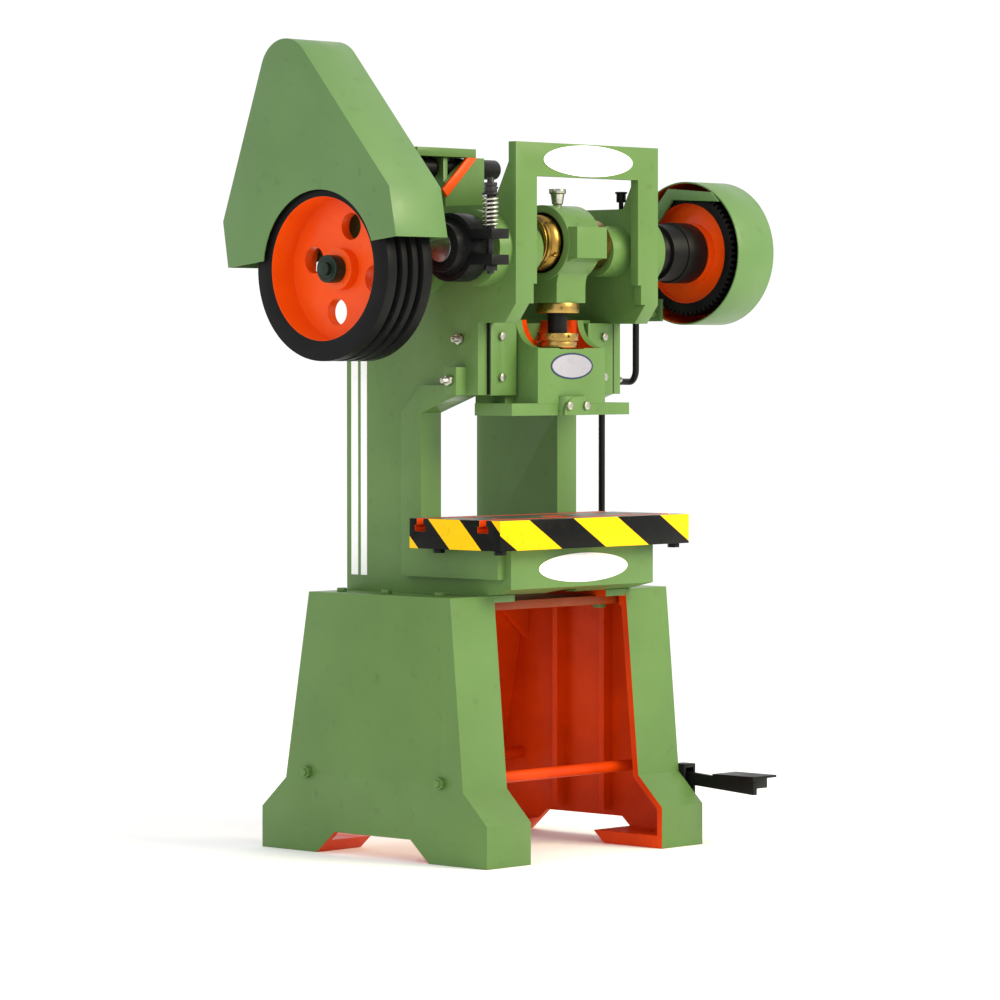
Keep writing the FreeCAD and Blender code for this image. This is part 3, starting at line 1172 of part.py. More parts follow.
def make_belt_guard():
    """The sheet guard over the flywheel and the belts, open underneath, with its stays."""
    outline = [
        (f"{SHAFT_Y} + 260", f"{SHAFT_Z} + 5"),
        (f"{SHAFT_Y} + 275", f"{SHAFT_Z} + 99"),
        (f"{SHAFT_Y} + 120", f"{SHAFT_Z} + 530"),
        (f"{SHAFT_Y} - 199", f"{SHAFT_Z} + 160"),
        (f"{SHAFT_Y} - 218", f"{SHAFT_Z} + 61"),
    ]
    blank = prism("guard_blank", "YZ", outline, "guard_left", "guard_right")
    hood = rounded("guard_hood", blank, peak_edge, "70")
    doc.recompute()
    lowest = min(range(len(hood.Shape.Faces)), key=lambda index: hood.Shape.Faces[index].CenterOfMass.z)
    shell = doc.addObject("Part::Thickness", "guard_shell")
    shell.Faces = (hood, [f"Face{lowest + 1}"])
    shell.Join = 2
    bind(shell, Value="-guard_sheet")
    wheel_room = shaft_cylinder("guard_wheel_room", "guard_left - 1", "guard_left + guard_sheet + 1", "guard_cutout")
    shaft_room = shaft_cylinder("guard_shaft_room", "guard_right - guard_sheet - 1", "guard_right + 1", "60")
    motor_room = cylinder("guard_motor_room", "+X", "guard_right - guard_sheet - 1", f"{SHAFT_Y} + 82",
                          f"{SHAFT_Z} + 346", "48", "guard_sheet + 2")
    stay_holes = [cylinder(f"guard_hole_{index}", "+X", "guard_right - guard_sheet - 1", across, up, "5 + run_gap",
                           "guard_sheet + 2") for index, (across, up) in enumerate(GUARD_STAYS)]
    piece(cut("belt_guard", shell, wheel_room, shaft_room, motor_room, *stay_holes))
    stays = []
    for index, (across, up) in enumerate(GUARD_STAYS):
        bar = cylinder(f"guard_bar_{index}", "+X", "guard_right", across, up, "11", "-plate_outer - guard_right")
        root = cylinder(f"guard_root_{index}", "+X", "-plate_outer - 1", across, up, "8", "20")
        tip = cylinder(f"guard_tip_{index}", "-X", "guard_right + 1", across, up, "5", "guard_sheet + 1")
        head = hexagon(f"guard_head_{index}", "-X", "guard_right - guard_sheet", across, up, "16", "5")
        stays.append(fuse(f"guard_stay_{index}", bar, root, tip, head))
    return stays


def tail_box(name, low, high, half):
    """A box from the crank axis to the countershaft's axis, as high as the pinion's guard."""
    tilt = math.degrees(math.atan2(-number("shaft_drop"), number(SHAFT_Y) - number("crank_y")))
    block = doc.addObject("Part::Box", name)
    bind(block, Length=f"({high}) - ({low})", Width="tooth_module * (pinion_teeth + gear_teeth) / 2", Height=f"2 * {half}")
    turn = Rotation(Vector(1, 0, 0), tilt)
    block.Placement = FreeCAD.Placement(Vector(), turn)
    corner = turn.multVec(Vector(0, 0, -number(half)))
    for axis, text in (("x", low), ("y", f"crank_y + ({corner.y})"), ("z", f"crank_z + ({corner.z})")):
        block.setExpression(f"Placement.Base.{axis}", formula(text))
    return block


def drum_solid(name, wall):
    """The gear guard's outer form, or the room inside it, with its pinion tail."""
    low = "drum_left" if wall == "0" else "drum_left - 1"
    tail_end = f"gear_left + gear_width + 9 - {wall}"
    tail = "tooth_module * (pinion_teeth / 2 + 1) + 7"
    return fuse(name,
                crank_cylinder(f"{name}_drum", low, f"drum_right - {wall}", f"drum_radius - {wall}"),
                shaft_cylinder(f"{name}_tail", low, tail_end, f"{tail} - {wall}"),
                tail_box(f"{name}_neck", low, tail_end, f"({tail} - {wall})"))


def make_gear_guard():
    """The round gear guard with its tail over the pinion, its mouth strap and its stays."""
    shell = cut("drum_shell", drum_solid("drum_outside", "0"), drum_solid("drum_inside", "guard_sheet"))
    strap_outline = [
        ("crank_y - 98", "crank_z + 108"),
        ("crank_y + 30", "crank_z + 114"),
        ("crank_y + 90", "crank_z + 40"),
        ("crank_y + 112", "crank_z + 60"),
        ("crank_y + 42", "crank_z + 138"),
        ("crank_y - 78", "crank_z + 128"),
    ]
    strap = prism("mouth_strap", "YZ", strap_outline, "drum_left - 4", "drum_left + guard_sheet")
    tie = prism("mouth_tie", "YZ", [("crank_y + 84", "crank_z + 44"), ("crank_y + 96", "crank_z + 30"),
                                    ("crank_y + 148", "crank_z + 30"), ("crank_y + 130", "crank_z + 76")],
                "drum_left - 4", "drum_left + guard_sheet")
    lug = prism("lower_lug", "YZ", [("crank_y + 61", "crank_z - 144"), ("crank_y + 61", "crank_z - 96"),
                                    ("crank_y + 101", "crank_z - 96"), ("crank_y + 101", "crank_z - 144")],
                "drum_left - 4", "drum_left + guard_sheet")
    holes = [cylinder(f"drum_hole_{index}", "+X", "drum_left - 5", across, up, "5 + run_gap", "guard_sheet + 7")
             for index, (across, up) in enumerate(DRUM_STAYS)]
    piece(cut("gear_guard", fuse("gear_guard_body", shell, strap, tie, lug), *holes))
    stays = []
    for index, (across, up) in enumerate(DRUM_STAYS):
        bar = cylinder(f"drum_bar_{index}", "+X", "plate_outer", across, up, "8", "drum_left - 4 - plate_outer")
        root = cylinder(f"drum_root_{index}", "-X", "plate_outer + 1", across, up, "8", "20")
        tip = cylinder(f"drum_tip_{index}", "+X", "drum_left - 5", across, up, "5", "guard_sheet + 5.5")
        stays.append(fuse(f"drum_stay_{index}", bar, root, tip))
    return stays


def make_platform():
    """The motor platform on its bracket, hinge bar and brace."""
    plate = box("platform_blank", ("platform_left", "platform_right"), ("platform_front", "platform_back"),
                ("platform_z", "platform_z + platform_thick"))
    middle_x = "(platform_left + platform_right) / 2"
    middle_y = "(platform_front + platform_back) / 2"
    slots = []
    for index, (across, along) in enumerate((("-", "-"), ("-", ""), ("", "-"), ("", ""))):
        x = f"{middle_x} + {across}motor_x / 2"
        y = f"{middle_y} + {along}motor_y / 2"
        run = "(motor_slot / 2 - motor_slot_radius)"
        slots.append(fuse(f"motor_slot_{index}",
                          box(f"motor_slot_box_{index}", (f"{x} - {run}", f"{x} + {run}"),
                              (f"{y} - motor_slot_radius", f"{y} + motor_slot_radius"),
                              ("platform_z - 1", "platform_z + platform_thick + 1")),
                          cylinder(f"motor_slot_low_{index}", "+Z", f"{x} - {run}", y, "platform_z - 1",
                                   "motor_slot_radius", "platform_thick + 2"),
                          cylinder(f"motor_slot_high_{index}", "+Z", f"{x} + {run}", y, "platform_z - 1",
                                   "motor_slot_radius", "platform_thick + 2")))
    piece(cut("motor_platform", plate, *slots))
    bar_z = "platform_z - bar_radius - seat_gap"
    bar_y = "platform_front + 44"
    face = prism("bracket_face", "XZ", [("platform_right - 88", "plate_top"), ("platform_right + 29", "plate_top"),
                                        ("platform_right + 29", "platform_z"), ("platform_right - 18", "platform_z"),
                                        ("platform_right - 88", "platform_z - 52")],
                 "platform_front + 4", "platform_front + 16")
    webs = []
    for index, low in enumerate(("platform_right - 88", "platform_right + 17")):
        webs.append(box(f"bracket_web_{index}", (low, f"{low} + 12"), ("platform_front + 10", f"{bar_y} + 34"),
                        ("plate_top", "platform_z - seat_gap")))
    flange = box("bracket_foot", ("platform_right - 88", "platform_right + 29"), ("platform_front + 10", f"{bar_y} + 70"),
                 ("plate_top", "plate_top + 12"))
    bar_hole = cylinder("hinge_hole", "+X", "platform_left", bar_y, bar_z, "bar_radius + run_gap",
                        "platform_right - platform_left + 60")
    piece(cut("platform_bracket", fuse("bracket_body", face, *webs, flange), bar_hole))
    piece(cylinder("platform_hinge_bar", "+X", "platform_left + 24", bar_y, bar_z, "bar_radius",
                   "platform_right - platform_left + 78"))
    piece(prism("platform_brace", "XZ", [("platform_right - 104", "platform_z - 68"), ("platform_right - 90", "platform_z - 84"),
                                         ("platform_right", "platform_z - seat_gap"),
                                         ("platform_right - 28", "platform_z - seat_gap")],
                "platform_front - 4", "platform_front + 4 - seat_gap"))


# ---------------------------------------------------------------- treadle, pull rod and trip lever


def make_treadle():
    """The treadle lever with its pedal, its guide bracket on the leg, and its pivot nut."""
    rear = "tie_back + 18"
    drop = "(tie_height - lever_z) / (tie_back + lever_front)"
    bar = prism("treadle_bar", "YZ", [
        ("-lever_front", "lever_z - lever_depth / 2"),
        (rear, f"tie_height - lever_depth / 2 + 18 * {drop}"),
        (rear, f"tie_height + lever_depth / 2 + 18 * {drop}"),
        ("-lever_front", "lever_z + lever_depth / 2"),
    ], "lever_left", "lever_left + lever_thick")
    plate = box("treadle_plate", ("lever_left", "lever_left + pedal_width"),
                ("-lever_front", "pedal_length - lever_front"),
                ("lever_z + lever_depth / 2 + 1", "lever_z + lever_depth / 2 + pedal_thick + 7"))
    thin = box("treadle_thin", ("lever_left + lever_thick", "lever_left + pedal_width + 1"),
               ("-lever_front - 1", "pedal_length - lever_front + 1"),
               ("lever_z + lever_depth / 2", "lever_z + lever_depth / 2 + 7"))
    rib = prism("treadle_rib", "YZ", [("-lever_front", "lever_z"), ("10 - lever_front", "lever_z"),
                                      ("10 - lever_front", "lever_z + lever_depth / 2 + 9"),
                                      ("-lever_front", "lever_z + lever_depth / 2 + 9")],
                "lever_left + lever_thick - 2", "lever_left + pedal_width * 0.6")
    boss = cylinder("treadle_boss", "+X", "lever_left - 1.5", "tie_back", "tie_height", "20", "lever_thick + 3")
    pivot = cylinder("treadle_pivot_hole", "+X", "lever_left - 3", "tie_back", "tie_height", "spigot_radius + run_gap",
                     "lever_thick + 6")
    pin_z = f"tie_height - (tie_back - rod_low_y) * {drop}"
    pin_hole = cylinder("treadle_pin_hole", "+X", "lever_left - 3", "rod_low_y", pin_z, "7", "lever_thick + 6")
    body = fuse("treadle_body", bar, cut("pedal_plate", plate, thin), rib, boss)
    piece(cut("treadle", body, pivot, pin_hole))
    make_lever_guide()
    make_clevis(pin_z)


def make_lever_guide():
    """The bracket on the right leg that the lever moves in."""
    low = "lever_z - 67"
    high = "lever_z + 34"
    inside = "stand_half_width"
    outside = "lever_left + lever_thick + 6"
    parts = [
        box("guide_back_plate", (inside, f"{inside} + 6"), ("-272", "-238"), (f"{low} - 8", f"{high} + 8")),
        box("guide_top_arm", (inside, f"{outside} + 6"), ("-272", "-238"), (high, f"{high} + 8")),
        box("guide_low_arm", (inside, f"{outside} + 6"), ("-272", "-238"), (f"{low} - 8", low)),
        box("guide_front_plate", (outside, f"{outside} + 6"), ("-272", "-238"), (f"{low} - 8", f"{high} + 8")),
    ]
    piece(fuse("lever_guide", *parts))


def make_clevis(pin_z):
    """The fork at the pull rod's foot, with its pin through the lever."""
    left = ("lever_left - 6.5", "lever_left - 0.5")
    right = ("lever_left + lever_thick + 0.5", "lever_left + lever_thick + 6.5")
    span = ("rod_low_y - 13", "rod_low_y + 13")
    parts = [
        box("clevis_left", left, span, (f"{pin_z} - 13", f"{pin_z} + 34")),
        box("clevis_right", right, span, (f"{pin_z} - 13", f"{pin_z} + 34")),
        box("clevis_bridge", (left[0], right[1]), span, (f"{pin_z} + 24", f"{pin_z} + 40")),
    ]
    hole = cylinder("clevis_hole", "+X", f"{left[0]} - 1", "rod_low_y", pin_z, "5 + run_gap", "lever_thick + 16")
    rod_x = "lever_left + lever_thick / 2"
    socket = cylinder("clevis_socket", "+Z", rod_x, "rod_low_y", f"{pin_z} + 20", "rod_radius + run_gap", "30")
    fork = cut("clevis_fork", fuse("clevis_body", *parts), hole, socket)
    pin = fuse("clevis_pin",
               cylinder("clevis_pin_bar", "+X", f"{left[0]} - 3", "rod_low_y", pin_z, "5", "lever_thick + 22"),
               cylinder("clevis_pin_head", "-X", left[0], "rod_low_y", pin_z, "8", "4"))
    piece(group("rod_clevis", fork, pin))
    points = [
        Vector(number(rod_x), number("rod_low_y"), number(pin_z) + 24),
        Vector(number(rod_x), number("rod_low_y"), number("rod_bend_z")),
        Vector(number("rod_high_x"), number("rod_high_y"), number("rod_bend_z")),
        Vector(number("rod_high_x"), number("rod_high_y"), number("rod_top") - 8),
    ]
    bar = doc.addObject("Part::Feature", "pull_rod_bar")
    bar.Shape = bent_bar(points, number("rod_bend"), number("rod_radius"))
    eye = cylinder("pull_rod_eye", "+X", "rod_high_x - 6", "rod_high_y", "rod_top", "15", "12")
    hole = cylinder("pull_rod_hole", "+X", "rod_high_x - 8", "rod_high_y", "rod_top", "8", "16")
    piece(cut("pull_rod", fuse("pull_rod_body", bar, eye), hole))


def bent_bar(points, bend, radius):
    """A round bar along straight runs joined by tangent arcs."""
    edges = []
    start = points[0]
    for before, corner, after in zip(points, points[1:], points[2:]):
        toward = (before - corner).normalize()
        onward = (after - corner).normalize()
        half_angle = toward.getAngle(onward) / 2
        reach = bend / math.tan(half_angle)
        first = corner + toward * reach
        last = corner + onward * reach
        middle = (toward + onward).normalize()
        centre = corner + middle * (bend / math.sin(half_angle))
        edges.append(Part.LineSegment(start, first).toShape())
        edges.append(Part.Arc(first, centre - middle * bend, last).toShape())
        start = last
    edges.append(Part.LineSegment(start, points[-1]).toShape())
    path = Part.Wire(edges)
    section = Part.Wire([Part.makeCircle(radius, points[0], points[1] - points[0])])
    return path.makePipeShell([section], True, True)


def make_trip_lever():
    """The trip lever between the pull rod and the clutch."""
    low = "rod_high_x - 25"
    plate = prism("trip_plate", "YZ", [
        ("rod_high_y - 12", "rod_top - 9"),
        (f"{TRIP_Y} - 20", "rod_top - 9"),
        (f"{TRIP_Y} + 14", "rod_top - 14"),
        (f"{TRIP_Y} + 14", "rod_top + 14"),
        (f"{TRIP_Y} - 40", "rod_top + 22"),
        ("crank_y + 36", "crank_z - 47"),
        ("crank_y + 24", "crank_z - 58"),
        ("rod_high_y - 12", "rod_top + 13"),
    ], low, f"{low} + 10")
    hole = cylinder("trip_pivot_hole", "+X", f"{low} - 1", TRIP_Y, "rod_top", "8 + run_gap", "12")
    stud = cylinder("trip_stud", "+X", f"{low} + 5", "rod_high_y", "rod_top", "5", "32")
    piece(cut("trip_lever", fuse("trip_body", plate, stud), hole))


def make_pivot_pins():
    """The brake's anchor pin and the trip lever's pivot pin."""
    anchor = cylinder("anchor_pin", "+X", "brake_left - 8", ANCHOR_Y, "crank_z", "9",
                      "-plate_outer - brake_left + 8 + 28")
    low = "rod_high_x - 25"
    pin = fuse("trip_pin",
               cylinder("trip_pin_bar", "+X", "plate_outer - 29", TRIP_Y, "rod_top", "8", f"{low} + 45 - plate_outer"),
               cylinder("trip_pin_shoulder", "+X", "plate_outer", TRIP_Y, "rod_top", "14",
                        f"{low} - 0.5 - plate_outer"),
               cylinder("trip_pin_head", "+X", f"{low} + 10.5", TRIP_Y, "rod_top", "13", "5"))
    piece(group("pivot_pins", anchor, pin))


# ---------------------------------------------------------------- build and write


def build():
    """Make every sub-part."""
    make_legs()
    make_cross_plate()
    make_stand_bolts()
    make_tie_rods()
    make_frame()
    make_name_plates()
    make_bolster()
    make_gibs()
    make_ram()
    make_connecting_rod()
    make_bearing_cups()
    make_crankshaft()
    make_brake()
    make_gears()
    make_countershaft()
    piece(group("guard_stays", *make_belt_guard(), *make_gear_guard()))
    make_platform()
    make_treadle()
    make_trip_lever()
    make_pivot_pins()
    doc.recompute()


def check():
    """Stop if anything in the document failed."""
    failed = [item.Name for item in doc.Objects if {"Invalid", "Error"} & set(item.State)]
    for thing in pieces:
        if thing.Shape.isNull() or not thing.Shape.isValid() or not thing.Shape.Solids:
            failed.append(thing.Label)
    if failed:
        raise SystemExit(f"failed: {failed}")


def write():
    """Write each sub-part to its own STEP file."""
    os.makedirs("parts", exist_ok=True)
    for thing in pieces:
        thing.Shape.exportStep(os.path.join("parts", f"{thing.Label}.step"))
    print(len(pieces), "sub-parts")


build()
check()
write()
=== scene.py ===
"""The looks of a geared open-back stamping press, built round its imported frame.

Axes: X to the right along the crankshaft, Y to the back, Z up, all in metres.
"""

import logging
import math
from collections.abc import Callable, Iterable
from dataclasses import dataclass
from enum import Enum

import bpy
from mathutils import Matrix, Vector

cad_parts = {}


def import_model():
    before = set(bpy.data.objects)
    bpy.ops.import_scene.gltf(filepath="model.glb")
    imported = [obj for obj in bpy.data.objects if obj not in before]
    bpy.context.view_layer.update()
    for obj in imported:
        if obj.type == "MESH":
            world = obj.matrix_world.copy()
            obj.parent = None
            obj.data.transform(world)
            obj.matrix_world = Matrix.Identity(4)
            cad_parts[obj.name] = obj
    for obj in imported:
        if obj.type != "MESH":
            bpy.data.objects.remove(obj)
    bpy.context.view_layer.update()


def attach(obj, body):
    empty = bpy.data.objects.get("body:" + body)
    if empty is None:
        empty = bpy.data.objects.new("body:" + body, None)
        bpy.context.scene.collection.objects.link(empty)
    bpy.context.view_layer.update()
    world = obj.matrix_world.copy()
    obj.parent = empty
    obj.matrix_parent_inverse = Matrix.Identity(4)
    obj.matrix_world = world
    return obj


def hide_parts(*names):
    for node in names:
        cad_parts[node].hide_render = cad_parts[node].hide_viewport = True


log = logging.getLogger("press")

Colour = tuple[float, float, float]
Picker = Callable[[Vector, Vector], int]

CRANK_Y = -0.211
CRANK_Z = 1.246
THROW = 0.014
SHAFT_Y = CRANK_Y + math.sqrt(0.160**2 - 0.044**2)
SHAFT_Z = CRANK_Z - 0.044


class Body(Enum):
    """The rigid bodies that pieces ride on."""

    FRAME = "frame"
    FLYWHEEL = "flywheel"
    GEAR = "gear"
    CRANK = "crank"
    ROD = "rod"
    RAM = "ram"
    TREADLE = "treadle"
    PULL_ROD = "pull_rod"
    TRIP = "trip_lever"


# ------------------------------------------------------------------ finishes


def linear(colour: Colour) -> tuple[float, float, float, float]:
    """A display colour as the linear colour that shaders take.

    Args:
        colour: Red, green and blue, each 0 to 1, as seen on a screen.

    Returns:
        Linear red, green, blue and a full alpha.
    """
    steps = [c / 12.92 if c <= 0.04045 else ((c + 0.055) / 1.055) ** 2.4 for c in colour]
    return steps[0], steps[1], steps[2], 1.0


class Shader:
    """A material's node tree, grown one node at a time."""

    def __init__(self, name: str) -> None:
        """Start a material with its surface shader and the piece's own coordinates.

        Args:
            name: The material's name.
        """
        self.material = bpy.data.materials.new(name)
        self.material.use_nodes = True
        self.tree = self.material.node_tree
        self.surface = next(n for n in self.tree.nodes if n.type == "BSDF_PRINCIPLED")
        self.place = self.node("ShaderNodeTexCoord").outputs["Object"]

    def node(self, kind: str, **settings: object) -> bpy.types.Node:
        """Add a node and set its properties."""
        made = self.tree.nodes.new(kind)
        for name, value in settings.items():
            setattr(made, name, value)
        return made

    def feed(self, source: object, target: bpy.types.NodeSocket) -> None:
        """Link a socket to a target, or set the target to a plain value."""
        if isinstance(source, bpy.types.NodeSocket):
            self.tree.links.new(source, target)
        else:
            target.default_value = source

    def stretch(self, scale: tuple[float, float, float]) -> bpy.types.NodeSocket:
        """The piece's coordinates, scaled on each axis."""
        mapping = self.node("ShaderNodeMapping")
        self.feed(self.place, mapping.inputs["Vector"])
        mapping.inputs["Scale"].default_value = scale
        return mapping.outputs["Vector"]

    def noise(self, scale: float, detail: float = 3.0, where: object = None) -> bpy.types.NodeSocket:
        """A cloudy value from 0 to 1."""
        cloud = self.node("ShaderNodeTexNoise")
        self.feed(self.place if where is None else where, cloud.inputs["Vector"])
        cloud.inputs["Scale"].default_value = scale
        cloud.inputs["Detail"].default_value = detail
        return cloud.outputs["Fac"]

    def level(
        self, value: object, low: float, high: float, start: float = 0.0, end: float = 1.0
    ) -> bpy.types.NodeSocket:
        """A value moved from one span to another, held at the ends."""
        spread = self.node("ShaderNodeMapRange", clamp=True)
        self.feed(value, spread.inputs["Value"])
        spread.inputs["From Min"].default_value = low
        spread.inputs["From Max"].default_value = high
        spread.inputs["To Min"].default_value = start
        spread.inputs["To Max"].default_value = end
        return spread.outputs["Result"]

    def sum(self, first: object, second: object, operation: str = "ADD") -> bpy.types.NodeSocket:
        """Two values joined by a sum or another operation."""
        joined = self.node("ShaderNodeMath", operation=operation)
        self.feed(first, joined.inputs[0])
        self.feed(second, joined.inputs[1])
        return joined.outputs["Value"]

    def mix(self, share: object, first: object, second: object) -> bpy.types.NodeSocket:
        """A colour between two colours."""
        blended = self.node("ShaderNodeMix", data_type="RGBA")
        self.feed(share, blended.inputs["Factor"])
        self.feed(first, blended.inputs["A"])
        self.feed(second, blended.inputs["B"])
        return blended.outputs["Result"]

    def bump(
        self, height: object, strength: float, distance: float, under: object = None
    ) -> bpy.types.NodeSocket:
        """A surface that rises and falls with a value."""
        raised = self.node("ShaderNodeBump")
        raised.inputs["Strength"].default_value = strength
        raised.inputs["Distance"].default_value = distance
        self.feed(height, raised.inputs["Height"])
        if under is not None:
            self.feed(under, raised.inputs["Normal"])
        return raised.outputs["Normal"]

    def finish(self, colour: object, rough: object, metal: float, normal: object,
               shine: float = 0.5) -> bpy.types.Material:
        """Join the parts to the surface shader and return the material."""
        self.surface.inputs["Specular IOR Level"].default_value = shine
        self.feed(colour, self.surface.inputs["Base Color"])
        self.feed(rough, self.surface.inputs["Roughness"])
        self.surface.inputs["Metallic"].default_value = metal
        self.feed(normal, self.surface.inputs["Normal"])
        return self.material


@dataclass(frozen=True)
class Enamel:
    """Brushed or sprayed machine enamel over a casting.

    Attributes:
        name: The material's name.
        colour: The paint's colour.
        shade: The colour where the coat is thick or dusty.
        gloss_low: Roughness where the coat is smoothest.
        gloss_high: Roughness where it is dullest.
        uneven: How much the metal under the paint rises and falls, in metres.
        shine: How strongly it mirrors straight on.
    """

    name: str
    colour: Colour
    shade: Colour
    gloss_low: float = 0.30
    gloss_high: float = 0.46
    uneven: float = 0.0006
    shine: float = 0.28

    def material(self) -> bpy.types.Material:
        """The enamel as a material."""
        paint = Shader(self.name)
        cloud = paint.level(paint.noise(5.0, 4.0), 0.35, 0.68)
        grime = paint.level(paint.noise(38.0, 5.0), 0.62, 0.80)
        body = paint.mix(cloud, linear(self.colour), linear(self.shade))
        dirt = linear(tuple(c * 0.72 for c in self.shade))
        tone = paint.mix(paint.sum(grime, 0.35, "MULTIPLY"), body, dirt)
        rough = paint.level(paint.noise(22.0, 4.0), 0.35, 0.70, self.gloss_low, self.gloss_high)
        cast = paint.bump(paint.noise(26.0, 3.0), 0.35, self.uneven)
        peel = paint.bump(paint.noise(420.0, 2.0), 0.20, 0.0002, cast)
        return paint.finish(tone, rough, 0.0, peel, self.shine)


@dataclass(frozen=True)
class Metal:
    """Bare or blackened metal, brushed along one axis.

    Attributes:
        name: The material's name.
        colour: The metal's colour.
        stain: The colour of its oil and tarnish.
        brushed: How many times finer the grain is on each axis.
        gloss: The middle of its roughness.
        metal: Share of metal in the surface.
    """

    name: str
    colour: Colour
    stain: Colour
    brushed: tuple[float, float, float]
    gloss: float = 0.32
    metal: float = 1.0

    def material(self) -> bpy.types.Material:
        """The metal as a material."""
        metal = Shader(self.name)
        grain = metal.noise(60.0, 3.0, metal.stretch(self.brushed))
        patch = metal.level(metal.noise(24.0, 4.0), 0.42, 0.72)
        body = metal.mix(metal.sum(patch, 0.55, "MULTIPLY"), linear(self.colour), linear(self.stain))
        dark = linear(tuple(c * 0.6 for c in self.colour))
        tone = metal.mix(metal.level(grain, 0.3, 0.8, 0.0, 0.25), body, dark)
        wear = metal.sum(grain, metal.noise(45.0))
        rough = metal.level(wear, 0.7, 1.3, self.gloss - 0.08, self.gloss + 0.12)
        return metal.finish(tone, rough, self.metal, metal.bump(grain, 0.18, 0.0002))


@dataclass(frozen=True)
class StripeRun:
    """Stripes along one face of the bolster.

    Attributes:
        start: Where a yellow stripe starts at the bolster's top.
        period: One yellow and one black stripe.
        slant: How far a stripe runs along the face for each metre that it falls.
    """

    start: float
    period: float
    slant: float


@dataclass(frozen=True)
class HazardPaint:
    """Black and yellow slanting stripes on the bolster's sides.

    Attributes:
        name: The material's name.
        front: Stripes on the front and the back, along X.
        side: Stripes on the ends, along Y towards the front.
        top: Height of the bolster's top.
    """

    name: str
    front: StripeRun = StripeRun(-0.338, 0.268, 1.62)
    side: StripeRun = StripeRun(0.119, 0.176, 1.0)
    top: float = 0.697

    def share(self, paint: Shader, along: object, drop: object, run: StripeRun) -> bpy.types.NodeSocket:
        """How far through its period each spot of a face lies."""
        shifted = paint.sum(along, run.start, "SUBTRACT")
        level = paint.sum(shifted, paint.sum(drop, run.slant, "MULTIPLY"), "SUBTRACT")
        turns = paint.sum(level, run.period, "DIVIDE")
        return paint.sum(turns, paint.sum(turns, 0.0, "FLOOR"), "SUBTRACT")

    def material(self) -> bpy.types.Material:
        """The stripes as a material."""
        paint = Shader(self.name)
        spot = paint.node("ShaderNodeSeparateXYZ")
        paint.feed(paint.place, spot.inputs[0])
        facing = paint.node("ShaderNodeSeparateXYZ")
        paint.feed(paint.node("ShaderNodeNewGeometry").outputs["Normal"], facing.inputs[0])
        sideways = paint.sum(paint.sum(facing.outputs["X"], 0.0, "ABSOLUTE"), 0.7, "GREATER_THAN")
        drop = paint.sum(self.top, spot.outputs["Z"], "SUBTRACT")
        forward = paint.sum(0.0, spot.outputs["Y"], "SUBTRACT")
        run = paint.node("ShaderNodeMix", data_type="FLOAT")
        paint.feed(sideways, run.inputs["Factor"])
        paint.feed(self.share(paint, spot.outputs["X"], drop, self.front), run.inputs["A"])
        paint.feed(self.share(paint, forward, drop, self.side), run.inputs["B"])
        black = paint.sum(run.outputs["Result"], 0.5, "GREATER_THAN")
        worn = paint.level(paint.noise(70.0, 5.0), 0.60, 0.74, 0.0, 0.5)
        yellow = paint.mix(worn, linear((0.93, 0.74, 0.01)), linear((0.80, 0.62, 0.02)))
        dark = paint.mix(worn, linear((0.035, 0.035, 0.035)), linear((0.11, 0.10, 0.09)))
        tone = paint.mix(black, yellow, dark)
        rough = paint.level(paint.noise(22.0, 4.0), 0.35, 0.70, 0.30, 0.45)
        return paint.finish(tone, rough, 0.0, paint.bump(paint.noise(420.0, 2.0), 0.18, 0.0002), 0.1)


